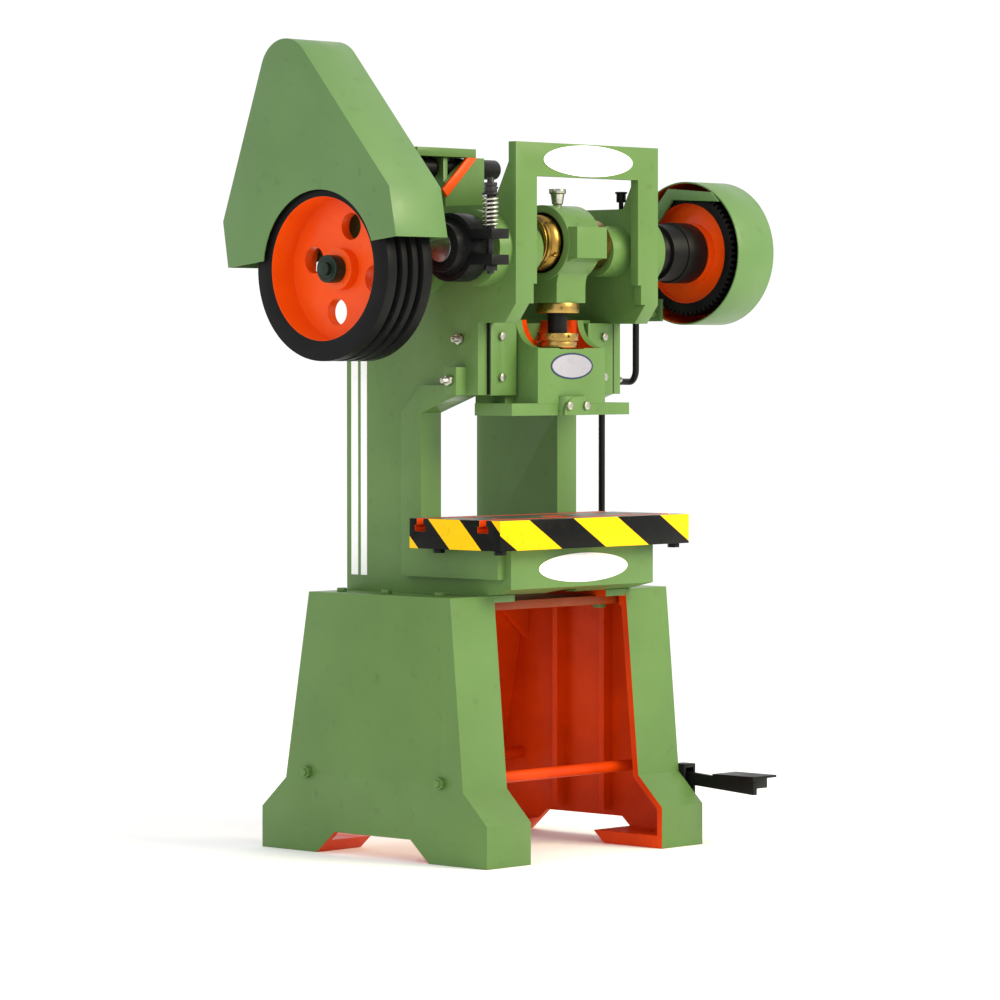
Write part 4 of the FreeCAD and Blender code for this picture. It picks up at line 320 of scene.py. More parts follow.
class Paint(Enum):
    """Every finish on the press."""

    GREEN = Enamel("green_enamel", (0.360, 0.488, 0.258), (0.336, 0.458, 0.240))
    GREEN_SHEET = Enamel(
        "green_sheet_enamel", (0.362, 0.490, 0.290), (0.342, 0.466, 0.274), 0.34, 0.46, 0.0003
    )
    GREEN_DARK = Enamel("dark_green_enamel", (0.06, 0.16, 0.11), (0.04, 0.10, 0.07), 0.28, 0.40)
    ORANGE = Enamel("orange_enamel", (0.93, 0.33, 0.015), (0.86, 0.27, 0.015), 0.28, 0.42)
    # The insides really are painted orange, but this copy is set a little darker than the outside orange as
    # painted shade for hollows, slots and the space between the legs.
    ORANGE_INSIDE_SHADED = Enamel(
        "orange_inside_shaded_enamel", (0.86, 0.26, 0.01), (0.74, 0.20, 0.01), 0.34, 0.50, shine=0.12
    )
    # Painted shade: a dark brown copy of the orange paint, for the cross plate that sits in the shadow under
    # the bed.
    SHADED_UNDERSIDE = Enamel("orange_painted_shade_enamel", (0.58, 0.23, 0.03), (0.46, 0.17, 0.02), 0.40, 0.56)
    BLACK = Enamel("black_enamel", (0.085, 0.085, 0.09), (0.05, 0.05, 0.055), 0.34, 0.50, shine=0.14)
    BLACK_SATIN = Enamel(
        "black_satin_enamel", (0.075, 0.075, 0.08), (0.055, 0.055, 0.06), 0.38, 0.52, 0.0003, 0.10
    )
    WHITE = Enamel("white_enamel", (0.98, 0.98, 0.98), (0.94, 0.94, 0.94), 0.25, 0.35, 0.0001)
    BADGE = Enamel("badge_enamel", (0.62, 0.61, 0.66), (0.57, 0.56, 0.61), 0.25, 0.35, 0.0001)
    BADGE_RIM = Enamel("badge_rim_enamel", (0.16, 0.20, 0.34), (0.12, 0.15, 0.28), 0.25, 0.35, 0.0001)
    STEEL = Metal("machined_steel", (0.70, 0.70, 0.69), (0.44, 0.42, 0.38), (1.0, 14.0, 14.0))
    STEEL_TOP = Metal("ground_steel", (0.47, 0.49, 0.44), (0.30, 0.31, 0.27), (1.0, 10.0, 1.0), 0.42, 0.8)
    ZINC = Metal("zinc_plate", (0.76, 0.75, 0.71), (0.50, 0.48, 0.43), (3.0, 3.0, 3.0), 0.30)
    DARK_STEEL = Metal("dark_steel", (0.16, 0.16, 0.165), (0.08, 0.08, 0.08), (3.0, 3.0, 3.0), 0.40, 0.6)
    BRASS = Metal("turned_brass", (0.66, 0.52, 0.25), (0.38, 0.28, 0.11), (18.0, 1.0, 1.0), 0.30)
    BRASS_UPRIGHT = Metal("turned_brass_ring", (0.72, 0.59, 0.33), (0.44, 0.34, 0.16), (1.0, 1.0, 18.0), 0.30)
    HAZARD = HazardPaint("hazard_stripes")


_made: dict[str, bpy.types.Material] = {}


def dress(paint: Paint) -> bpy.types.Material:
    """The material of a finish, made the first time it is asked for."""
    if paint.name not in _made:
        _made[paint.name] = paint.value.material()
    return _made[paint.name]


# ------------------------------------------------------------------ workshop


def only(piece: bpy.types.Object) -> None:
    """Make a piece the one thing that is selected and active."""
    bpy.ops.object.select_all(action="DESELECT")
    piece.select_set(True)
    bpy.context.view_layer.objects.active = piece


def settle(piece: bpy.types.Object, name: str) -> bpy.types.Object:
    """Name a piece and put its place into its mesh."""
    only(piece)
    bpy.ops.object.transform_apply(location=True, rotation=True, scale=True)
    piece.name = name
    piece.data.name = name
    return piece


def apply_modifier(piece: bpy.types.Object, kind: str, **settings: object) -> None:
    """Add a modifier to a piece and apply it."""
    only(piece)
    added = piece.modifiers.new(kind.lower(), kind)
    for name, value in settings.items():
        setattr(added, name, value)
    bpy.ops.object.modifier_apply(modifier=added.name)


def smooth(piece: bpy.types.Object, angle: float = 32.0) -> None:
    """Shade a piece smooth, with edges sharper than an angle left crisp."""
    only(piece)
    bpy.ops.object.shade_smooth_by_angle(angle=math.radians(angle))


def coat(piece: bpy.types.Object, paints: Iterable[Paint], picker: Picker | None = None) -> None:
    """Put finishes on a piece.

    Args:
        piece: The piece.
        paints: Its finishes, the main one first.
        picker: Chooses a finish from a face's centre and normal.
    """
    piece.data.materials.clear()
    for paint in paints:
        piece.data.materials.append(dress(paint))
    if picker:
        spots = inner_spots(piece)
        for face in piece.data.polygons:
            face.material_index = picker(spots[face.index], face.normal)


def inner_spots(piece: bpy.types.Object) -> dict[int, Vector]:
    """A spot that lies on each face, even on a ring: the middle of its largest triangle.

    Args:
        piece: The piece whose faces are looked at.

    Returns:
        The spot of each face, by the face's index.
    """
    piece.data.calc_loop_triangles()
    spots: dict[int, Vector] = {}
    sizes: dict[int, float] = {}
    for part in piece.data.loop_triangles:
        if part.area > sizes.get(part.polygon_index, -1.0):
            corners = [piece.data.vertices[index].co for index in part.vertices]
            sizes[part.polygon_index] = part.area
            spots[part.polygon_index] = sum(corners, Vector()) / 3.0
    return spots


def hand_over(piece: bpy.types.Object, body: Body, slot: str, *nodes: str) -> bpy.types.Object:
    """Let a piece ride on its body and hide the CAD nodes that it stands for.

    Args:
        piece: The finished piece.
        body: The body that it rides on.
        slot: The record's slot for its finish; not used.
        nodes: CAD nodes that the piece replaces.

    Returns:
        The same piece.
    """
    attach(piece, body.value)
    if nodes:
        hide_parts(*nodes)
    log.info("%s: %d faces", piece.name, len(piece.data.polygons))
    return piece


def softened(node: str, name: str, edge: float, steps: int = 2, angle: float = 38.0) -> bpy.types.Object:
    """A copy of a CAD node with its sharp edges rounded.

    Args:
        node: The CAD node.
        name: The new piece's name.
        edge: Width of the rounding.
        steps: Faces across the rounding.
        angle: Edges sharper than this are rounded.

    Returns:
        The new piece.
    """
    source = bpy.data.objects[node]
    piece = bpy.data.objects.new(name, source.data.copy())
    bpy.context.scene.collection.objects.link(piece)
    piece.data.name = name
    only(piece)
    bpy.ops.object.mode_set(mode="EDIT")
    bpy.ops.mesh.select_all(action="SELECT")
    bpy.ops.mesh.remove_doubles(threshold=0.00002)
    bpy.ops.mesh.dissolve_limited(angle_limit=math.radians(0.4))
    bpy.ops.object.mode_set(mode="OBJECT")
    apply_modifier(piece, "BEVEL", width=edge, segments=steps, limit_method="ANGLE",
                   angle_limit=math.radians(angle), use_clamp_overlap=True)
    smooth(piece)
    return piece


def radius_from(y: float, z: float, spot: Vector) -> float:
    """How far a spot lies from an axis along X."""
    return math.hypot(spot.y - y, spot.z - z)


# ------------------------------------------------------------------ modelling moves


def faces_where(piece: bpy.types.Object, picker: Callable[[Vector, Vector], bool]) -> None:
    """Select just the faces that a picker chooses, and go into edit mode.

    Args:
        piece: The piece.
        picker: Chooses by a face's centre and normal.
    """
    only(piece)
    bpy.ops.object.mode_set(mode="EDIT")
    bpy.ops.mesh.select_mode(type="FACE")
    bpy.ops.mesh.select_all(action="DESELECT")
    bpy.ops.object.mode_set(mode="OBJECT")
    for face in piece.data.polygons:
        face.select = picker(face.center, face.normal)
    bpy.ops.object.mode_set(mode="EDIT")


def leave_edit() -> None:
    """Go back to object mode."""
    bpy.ops.object.mode_set(mode="OBJECT")


def disc(centre: Vector, axis: str, radius: float, length: float, sides: int = 48) -> bpy.types.Object:
    """A round blank, centred on a spot, along X, Y or Z."""
    turn = {"X": (0.0, math.pi / 2, 0.0), "Y": (math.pi / 2, 0.0, 0.0), "Z": (0.0, 0.0, 0.0)}[axis]
    bpy.ops.object.select_all(action="DESELECT")
    bpy.ops.mesh.primitive_cylinder_add(
        vertices=sides, radius=radius, depth=length, location=centre, rotation=turn
    )
    return settle(bpy.context.active_object, "blank")


def block(low: Vector, high: Vector) -> bpy.types.Object:
    """A box blank between two corners."""
    bpy.ops.object.select_all(action="DESELECT")
    bpy.ops.mesh.primitive_cube_add(size=1.0, location=(low + high) / 2)
    made = bpy.context.active_object
    made.scale = high - low
    return settle(made, "blank")


def lathe(profile: list[tuple[float, float]], centre: Vector, axis: str, sides: int = 64) -> bpy.types.Object:
    """A turned piece: an outline of (place along the axis, radius) spun round the axis.

    Args:
        profile: The outline, closed on the axis or back on itself.
        centre: A spot on the axis; its own place along the axis is added to the outline's.
        axis: X, Y or Z.
        sides: Steps round the turn.

    Returns:
        The turned piece.
    """
    along = {"X": Vector((1, 0, 0)), "Y": Vector((0, 1, 0)), "Z": Vector((0, 0, 1))}[axis]
    out = {"X": Vector((0, 0, 1)), "Y": Vector((0, 0, 1)), "Z": Vector((0, -1, 0))}[axis]
    bpy.ops.object.select_all(action="DESELECT")
    bpy.ops.mesh.primitive_plane_add(size=0.01, location=centre)
    made = bpy.context.active_object
    bpy.ops.object.mode_set(mode="EDIT")
    bpy.ops.mesh.select_all(action="SELECT")
    bpy.ops.mesh.delete(type="VERT")
    leave_edit()
    spots = [centre + along * step + out * radius for step, radius in profile]
    made.location = (0, 0, 0)
    made.data.from_pydata(spots, [(i, (i + 1) % len(spots)) for i in range(len(spots))], [])
    bpy.ops.object.mode_set(mode="EDIT")
    bpy.ops.mesh.select_all(action="SELECT")
    bpy.ops.mesh.spin(steps=sides, angle=2 * math.pi, center=centre, axis=along)
    bpy.ops.mesh.select_all(action="SELECT")
    bpy.ops.mesh.remove_doubles(threshold=0.00001)
    bpy.ops.mesh.dissolve_degenerate(threshold=0.00001)
    bpy.ops.mesh.select_all(action="SELECT")
    bpy.ops.mesh.normals_make_consistent(inside=False)
    leave_edit()
    return made


def joined(name: str, parts: list[bpy.types.Object]) -> bpy.types.Object:
    """Several blanks as one piece."""
    bpy.ops.object.select_all(action="DESELECT")
    for part in parts:
        part.select_set(True)
    bpy.context.view_layer.objects.active = parts[0]
    bpy.ops.object.join()
    return settle(bpy.context.active_object, name)


def eased(piece: bpy.types.Object, edge: float, steps: int = 2, angle: float = 38.0) -> bpy.types.Object:
    """Round a blank's sharp edges and shade it."""
    apply_modifier(piece, "BEVEL", width=edge, segments=steps, limit_method="ANGLE",
                   angle_limit=math.radians(angle), use_clamp_overlap=True)
    smooth(piece)
    return piece


def carved(piece: bpy.types.Object, *tools: bpy.types.Object) -> bpy.types.Object:
    """Take tools out of a blank, and clear the tools away."""
    for tool in tools:
        apply_modifier(piece, "BOOLEAN", object=tool, operation="DIFFERENCE", solver="EXACT")
        bpy.data.objects.remove(tool)
    return piece


def fused(piece: bpy.types.Object, *others: bpy.types.Object) -> bpy.types.Object:
    """Weld other blanks to a blank."""
    for other in others:
        apply_modifier(piece, "BOOLEAN", object=other, operation="UNION", solver="EXACT")
        bpy.data.objects.remove(other)
    return piece


# ------------------------------------------------------------------ stand


@dataclass
class Stand:
    """The two leg castings, their cross plate, tie rods and bolts.

    Attributes:
        top: Height of the stand.
        knee: Height of the knee.
        ankle: Height where the foot starts.
        skin: How near the outline a face lies to count as outside.
    """

    top: float = 0.540
    knee: float = 0.150
    ankle: float = 0.086
    skin: float = 0.006

    def outline(self, z: float) -> tuple[float, float]:
        """Front and back of a leg at a height."""
        if z > self.knee:
            share = (z - self.knee) / (self.top - self.knee)
            return -0.257 + 0.036 * share, 0.252 - 0.069 * share
        if z > self.ankle:
            share = (z - self.ankle) / (self.knee - self.ankle)
            return -0.323 + 0.066 * share, 0.323 - 0.071 * share
        return -0.323, 0.323

    def leg_paint(self, spot: Vector, facing: Vector) -> int:
        """Green outside, orange inside."""
        front, back = self.outline(spot.z)
        side = abs(spot.x) > 0.3305
        skin = min(abs(spot.y - front), abs(spot.y - back)) < self.skin and abs(facing.x) < 0.75
        lid = spot.z > self.top - 0.004
        return 0 if side or lid or skin else 1

    def rod_paint(self, spot: Vector, facing: Vector) -> int:
        """Orange between the legs, green outside them."""
        return 1 if abs(spot.x) < 0.3185 else 0

    def build(self) -> None:
        """Make and dress the stand."""
        for side in ("left", "right"):
            leg = softened(f"leg_{side}", f"leg_casting_{side}", 0.0028, 3)
            coat(leg, (Paint.GREEN, Paint.ORANGE_INSIDE_SHADED), self.leg_paint)
            hand_over(leg, Body.FRAME, "green_casting", f"leg_{side}")
        plate = softened("cross_plate", "cross_plate_welded", 0.0015)
        # The cross plate is orange; its dark brown finish is painted shade under the bed.
        coat(plate, (Paint.SHADED_UNDERSIDE,))
        hand_over(plate, Body.FRAME, "orange_paint", "cross_plate")
        rods = softened("tie_rods", "tie_rods_turned", 0.001)
        coat(rods, (Paint.GREEN, Paint.ORANGE_INSIDE_SHADED), self.rod_paint)
        hand_over(rods, Body.FRAME, "orange_paint", "tie_rods")
        for node, paint in (("tie_rod_nuts", Paint.GREEN), ("stand_bolts", Paint.GREEN)):
            bolts = softened(node, f"{node}_dressed", 0.0008)
            coat(bolts, (paint,))
            hand_over(bolts, Body.FRAME, "green_casting", node)


# ------------------------------------------------------------------ C-frame and bolster


@dataclass
class PressFrame:
    """The C-frame with its oval plates, gibs, stripes and oil cups.

    Attributes:
        side: Outside of the side plates.
        stripes: Front and back of each white line on the left side.
        stripe_low: Foot of the white lines.
        stripe_high: Top of the white lines.
    """

    side: float = 0.218
    stripes: tuple[tuple[float, float], ...] = ((0.126, 0.144), (0.152, 0.172))
    stripe_low: float = 0.572
    stripe_high: float = 1.180

    def build(self) -> None:
        """Make and dress the frame."""
        body = softened("press_frame", "frame_casting", 0.0022, 3)
        coat(body, (Paint.GREEN,))
        hand_over(body, Body.FRAME, "green_casting", "press_frame")
        for node, name, paint, slot, edge in (
            ("gib_covers", "gib_covers_dressed", Paint.GREEN, "green_casting", 0.0016),
            ("gib_cover_bolts", "gib_cover_bolts_dressed", Paint.ZINC, "zinc_fasteners", 0.0008),
            ("gib_adjusting_screws", "gib_adjusting_screws_dressed", Paint.ZINC, "zinc_fasteners", 0.0008),
            ("gib_strips", "gib_strips_dressed", Paint.STEEL, "bright_steel", 0.0008),
            ("name_plates", "name_plates_dressed", Paint.WHITE, "grey_trim", 0.0004),
            ("bearing_oil_cups", "bearing_oil_cups_dressed", Paint.BLACK, "black_steel", 0.0012),
            ("main_bushes", "main_bushes_dressed", Paint.BRASS, "brass", 0.0008),
            ("shaft_bushes", "shaft_bushes_dressed", Paint.BRASS, "brass", 0.0008),
            ("pivot_pins", "pivot_pins_dressed", Paint.BLACK, "black_steel", 0.0010),
        ):
            piece = softened(node, name, edge)
            coat(piece, (paint,))
            hand_over(piece, Body.FRAME, slot, node)
        self.white_lines()
        self.gib_gap_shadows()

    def gib_gap_shadows(self) -> None:
        """Black strips painted as the shadow in the gap at the outer edge of each gib cover, and the set
        screws beside them.
        """
        for side, name in ((-1, "left"), (1, "right")):
            inner, outer = sorted((side * 0.1872, side * 0.1912))
            # Painted shadow: a thin black strip that stands for the dark gap beside each cover.
            gap_shadow = block(Vector((inner, -0.1972, 0.949)), Vector((outer, -0.184, 1.094)))
            eased(gap_shadow, 0.0004, 1)
            gap_shadow.name = f"gib_gap_shadow_{name}"
            coat(gap_shadow, (Paint.BLACK,))
            hand_over(gap_shadow, Body.FRAME, "black_steel")
            screws = []
            for z in (0.990, 1.062):
                profile = [(0.0, 0.0), (0.0, 0.0042), (0.0016, 0.0042), (0.0024, 0.0034),
                           (0.0024, 0.0016), (0.0008, 0.0014), (0.0008, 0.0)]
                screw = lathe(profile, Vector((side * 0.2030, -0.1850, z)), "Y", 20)
                screw.data.transform(Matrix.Translation((0.0, -0.0024, 0.0)))
                screws.append(screw)
            row = joined(f"gib_set_screws_{name}", screws)
            smooth(row)
            coat(row, (Paint.DARK_STEEL,))
            hand_over(row, Body.FRAME, "zinc_fasteners")

    def white_lines(self) -> None:
        """Two painted lines up the left side plate."""
        for index, (front, back) in enumerate(self.stripes):
            line = block(Vector((-self.side - 0.0004, front, self.stripe_low)),
                         Vector((-self.side + 0.0004, back, self.stripe_high)))
            eased(line, 0.0002, 1)
            line.name = f"white_line_{index}"
            coat(line, (Paint.WHITE,))
            hand_over(line, Body.FRAME, "grey_trim")


@dataclass
class Bolster:
    """The bolster plate with its stripes, its ground top and its slots.

    Attributes:
        top: Height of the ground top.
        front: Y of the front edge.
        back: Y of the back edge.
        half: Half the width.
    """

    top: float = 0.697
    front: float = -0.320
    back: float = -0.067
    half: float = 0.290

    def paint(self, spot: Vector, facing: Vector) -> int:
        """Stripes on the edges, steel on top, orange in the slots and the hole."""
        if facing.z > 0.7 and spot.z > self.top - 0.002:
            return 1
        inside = abs(spot.x) < self.half - 0.004 and self.front + 0.004 < spot.y < self.back - 0.004
        return 2 if inside and spot.z > 0.637 else 0

    def build(self) -> None:
        """Make and dress the bolster."""
        plate = softened("bolster_plate", "bolster_ground", 0.0016)
        coat(plate, (Paint.HAZARD, Paint.STEEL_TOP, Paint.ORANGE_INSIDE_SHADED), self.paint)
        hand_over(plate, Body.FRAME, "bolster_steel", "bolster_plate")
        bolts = softened("bolster_bolts", "bolster_bolts_dressed", 0.001)
        coat(bolts, (Paint.BLACK,))
        hand_over(bolts, Body.FRAME, "zinc_fasteners", "bolster_bolts")


# ------------------------------------------------------------------ flywheel, gear and guards


@dataclass
class Drive:
    """The flywheel and countershaft, the bull gear and both guards.

    Attributes:
        rim: Inside radius of the flywheel's black rim.
        tooth_ring: Inside radius of the bull gear's black ring.
        drum: Outside radius of the gear guard; not used.
        shaft_paint: Where the paint on the countershaft's left end stops.
    """

    rim: float = 0.1444
    tooth_ring: float = 0.1065
    drum: float = 0.152
    shaft_paint: float = -0.515

    def wheel_paint(self, spot: Vector, facing: Vector) -> int:
        """Black rim, orange dish."""
        return 1 if radius_from(SHAFT_Y, SHAFT_Z, spot) > self.rim else 0

    def gear_paint(self, spot: Vector, facing: Vector) -> int:
        """Black toothed ring, orange web."""
        return 1 if radius_from(CRANK_Y, CRANK_Z, spot) > self.tooth_ring else 0

    def guard_paint(self, spot: Vector, facing: Vector) -> int:
        """Green outside, orange inside."""
        if spot.x < 0.4035:
            return 0
        if abs(facing.x) > 0.7:
            return 0 if facing.x > 0 else 1
        out = Vector((0.0, spot.y - CRANK_Y, spot.z - CRANK_Z))
        return 0 if out.dot(facing) > 0 else 1

    def build(self) -> None:
        """Make and dress the drive."""
        wheel = softened("flywheel", "flywheel_turned", 0.0020, 3, 30.0)
        coat(wheel, (Paint.ORANGE, Paint.BLACK_SATIN), self.wheel_paint)
        hand_over(wheel, Body.FLYWHEEL, "orange_paint", "flywheel")
        gear = softened("bull_gear", "bull_gear_cut", 0.0010, 2, 45.0)
        coat(gear, (Paint.ORANGE, Paint.BLACK), self.gear_paint)
        hand_over(gear, Body.GEAR, "black_steel", "bull_gear")
        drum = softened("gear_guard", "gear_guard_sheet", 0.0012)
        coat(drum, (Paint.GREEN_SHEET, Paint.ORANGE_INSIDE_SHADED), self.guard_paint)
        hand_over(drum, Body.FRAME, "green_sheet", "gear_guard")
        shaft = softened("countershaft", "countershaft_turned", 0.0010)
        ends = (Paint.STEEL, Paint.GREEN_DARK)
        coat(shaft, ends, lambda spot, facing: 1 if spot.x < self.shaft_paint else 0)
        hand_over(shaft, Body.FLYWHEEL, "bright_steel", "countershaft")
        for node, name, body, paint, slot, edge in (
            ("belt_guard", "belt_guard_sheet", Body.FRAME, Paint.GREEN_SHEET, "green_sheet", 0.0012),
            ("guard_stays", "guard_stays_dressed", Body.FRAME, Paint.GREEN, "green_sheet", 0.0010),
            ("shaft_end_cap", "shaft_end_cap_dressed", Body.FLYWHEEL, Paint.GREEN_DARK, "dark_green", 0.0016),
            ("shaft_collars", "shaft_collars_dressed", Body.FLYWHEEL, Paint.BLACK, "dark_green", 0.0012),
            ("flywheel_key", "flywheel_key_dressed", Body.FLYWHEEL, Paint.STEEL, "bright_steel", 0.0006),
            ("pinion", "pinion_cut", Body.FLYWHEEL, Paint.DARK_STEEL, "bright_steel", 0.0008),
            ("gear_bush", "gear_bush_turned", Body.GEAR, Paint.BRASS, "brass", 0.0008),
        ):
            piece = softened(node, name, edge)
            coat(piece, (paint,))
            hand_over(piece, body, slot, node)


@dataclass
class MotorMount:
    """The motor platform, its bracket, hinge bar and brace."""

    edge: float = 0.0016

    def build(self) -> None:
        """Make and dress the mount."""
        for node, name, paint, slot in (
            ("motor_platform", "motor_platform_plate", Paint.GREEN, "green_sheet"),
            ("platform_bracket", "platform_bracket_welded", Paint.GREEN, "green_casting"),
            ("platform_hinge_bar", "platform_hinge_turned", Paint.BLACK, "black_steel"),
            ("platform_brace", "platform_brace_flat", Paint.ORANGE, "orange_paint"),
        ):
            piece = softened(node, name, self.edge)
            coat(piece, (paint,))
            hand_over(piece, Body.FRAME, slot, node)


# ------------------------------------------------------------------ crank, brake and rod


@dataclass
class Crank:
    """The crankshaft with its brass eccentric, clutch and brake.

    Attributes:
        edge: Rounding of the turned and cast edges.
        dial_radius: Radius of the eccentric's brass dial.
        groove_depth: Depth of the grooves round the dial.
    """

    edge: float = 0.0014
    dial_radius: float = 0.0570
    groove_depth: float = 0.0015

    def dial(self) -> None:
        """The brass eccentric, with two grooves and a set hole in its dial."""
        sleeve = softened("eccentric_sleeve", "eccentric_sleeve_turned", self.edge)
        axis = Vector((0.0, CRANK_Y, CRANK_Z + THROW))
        inner, outer = self.dial_radius - self.groove_depth, self.dial_radius + 0.004
        for x in (-0.0880, -0.0790):
            low, high = x - 0.0007, x + 0.0007
            groove = [(low, inner), (high, inner), (high, outer), (low, outer)]
            carved(sleeve, lathe(groove, axis, "X", 96))
        turn = math.radians(205.0)
        hole = disc(Vector((0.0, 0.0, 0.0)), "Z", 0.0036, 0.018, 24)
        hole.rotation_euler = (turn - math.pi / 2, 0.0, 0.0)
        out_y, out_z = self.dial_radius * math.cos(turn), self.dial_radius * math.sin(turn)
        hole.location = axis + Vector((-0.0650, out_y, out_z))
        carved(sleeve, settle(hole, "blank"))
        smooth(sleeve)
        coat(sleeve, (Paint.BRASS,))
        hand_over(sleeve, Body.CRANK, "brass", "eccentric_sleeve")

    def build(self) -> None:
        """Make and dress the crank."""
        for node, name, body, paint, slot in (
            ("crankshaft", "crankshaft_turned", Body.CRANK, Paint.STEEL, "bright_steel"),
            ("clutch_body", "clutch_body_turned", Body.CRANK, Paint.BLACK, "black_steel"),
            ("rolling_key", "rolling_key_ground", Body.CRANK, Paint.STEEL, "bright_steel"),
            ("gear_nut", "gear_nut_dressed", Body.CRANK, Paint.DARK_STEEL, "bright_steel"),
            ("brake_drum", "brake_drum_turned", Body.CRANK, Paint.BLACK, "black_steel"),
            ("brake_shoe_upper", "brake_shoe_upper_cast", Body.FRAME, Paint.BLACK, "black_steel"),
            ("brake_shoe_lower", "brake_shoe_lower_cast", Body.FRAME, Paint.BLACK, "black_steel"),
            ("brake_stud", "brake_stud_dressed", Body.FRAME, Paint.DARK_STEEL, "zinc_fasteners"),
        ):
            piece = softened(node, name, self.edge)
            coat(piece, (paint,))
            hand_over(piece, body, slot, node)
        self.dial()
        coat(bpy.data.objects["brake_spring"], (Paint.ZINC,))


@dataclass
class Ram:
    """The ram with its clamp, badge and ball joint.

    Attributes:
        cheek_inside: Half the gap between the cheeks.
        front: Y of the front face.
        hollow_back: Y of the hollow's back.
        sill: Height of the hollow's floor.
        top: Height of the cheeks.
        badge_half: Half the badge's width and height.
        badge_front: Y of the badge's face.
        clamp_front: Y of the clamp's front.
        clamp_foot: Height of the clamp's foot.
        badge_z: Height of the badge's middle.
    """

    cheek_inside: float = 0.0850
    front: float = -0.2500
    hollow_back: float = -0.1880
    sill: float = 1.0440
    top: float = 1.1020
    badge_half: tuple[float, float] = (0.064, 0.027)
    badge_front: float = -0.2512
    clamp_front: float = -0.2640
    clamp_foot: float = 0.9060
    badge_z: float = 1.007

    def paint(self, spot: Vector, facing: Vector) -> int:
        """Green, with the hollow between the cheeks orange."""
        hollow = abs(spot.x) < self.cheek_inside + 0.0004 and spot.y > self.front + 0.006
        return 1 if hollow and spot.z > self.sill - 0.004 and facing.z < 0.9 else 0

    def cheeks(self, ram: bpy.types.Object) -> None:
        """Open the top into a hollow between two cheeks with hollow-curved front edges."""
        room = block(Vector((-self.cheek_inside, self.front - 0.02, self.sill)),
                     Vector((self.cheek_inside, self.hollow_back, self.top + 0.02)))
        reach = self.top + 0.002 - self.sill
        sweep = disc(Vector((0.0, self.front, self.sill + reach)), "X", reach, 0.21, 96)
        carved(ram, room, sweep)

    def clamp(self) -> None:
        """The shank clamp with its half-round raised face."""
        cap = softened("shank_clamp", "shank_clamp_half_round", 0.0014)
        face = disc(Vector((0.0, self.clamp_front, self.clamp_foot)), "Y", 0.0380, 0.0050, 72)
        carved(face, block(Vector((-0.06, -0.30, 0.85)), Vector((0.06, -0.20, self.clamp_foot))))
        eased(face, 0.0010)
        cap = joined("shank_clamp_half_round", [cap, face])
        coat(cap, (Paint.GREEN,))
        hand_over(cap, Body.RAM, "green_casting", "shank_clamp")

    def build(self) -> None:
        """Make and dress the ram."""
        ram = softened("ram", "ram_casting", 0.0020, 3)
        self.cheeks(ram)
        smooth(ram)
        coat(ram, (Paint.GREEN, Paint.ORANGE_INSIDE_SHADED), self.paint)
        hand_over(ram, Body.RAM, "green_ram", "ram")
        for node, name, body, paint, slot, edge in (
            ("clamp_bolts", "clamp_bolts_dressed", Body.RAM, Paint.ZINC, "green_casting", 0.0008),
            ("ball_seat", "ball_seat_ground", Body.RAM, Paint.STEEL, "bright_steel", 0.0008),
            ("ball_retainer", "ball_retainer_plate", Body.RAM, Paint.DARK_STEEL, "black_steel", 0.0010),
        ):
            piece = softened(node, name, edge)
            coat(piece, (paint,))
            hand_over(piece, body, slot, node)
        self.clamp()
        self.badge()

    def badge_paint(self, spot: Vector, facing: Vector) -> int:
        """Grey in the middle, dark blue round the edge."""
        share = math.hypot(spot.x / self.badge_half[0], (spot.z - self.badge_z) / self.badge_half[1])
        return 1 if share > 0.90 else 0

    def badge(self) -> None:
        """The bare oval badge, with a painted rim."""
        front = Vector((0.0, self.badge_front, self.badge_z))
        plate = disc(Vector((0.0, 0.0, 0.0)), "Y", 1.0, 0.0022, 96)
        plate.scale = (self.badge_half[0], 1.0, self.badge_half[1])
        plate.location = front
        settle(plate, "ram_badge_oval")
        faces_where(plate, lambda centre, normal: normal.y < -0.9)
        bpy.ops.mesh.inset(thickness=0.0034, depth=0.0)
        bpy.ops.mesh.inset(thickness=0.0004, depth=-0.0003)
        leave_edit()
        eased(plate, 0.0003)
        coat(plate, (Paint.BADGE, Paint.BADGE_RIM), self.badge_paint)
        hand_over(plate, Body.RAM, "grey_trim", "ram_badge")


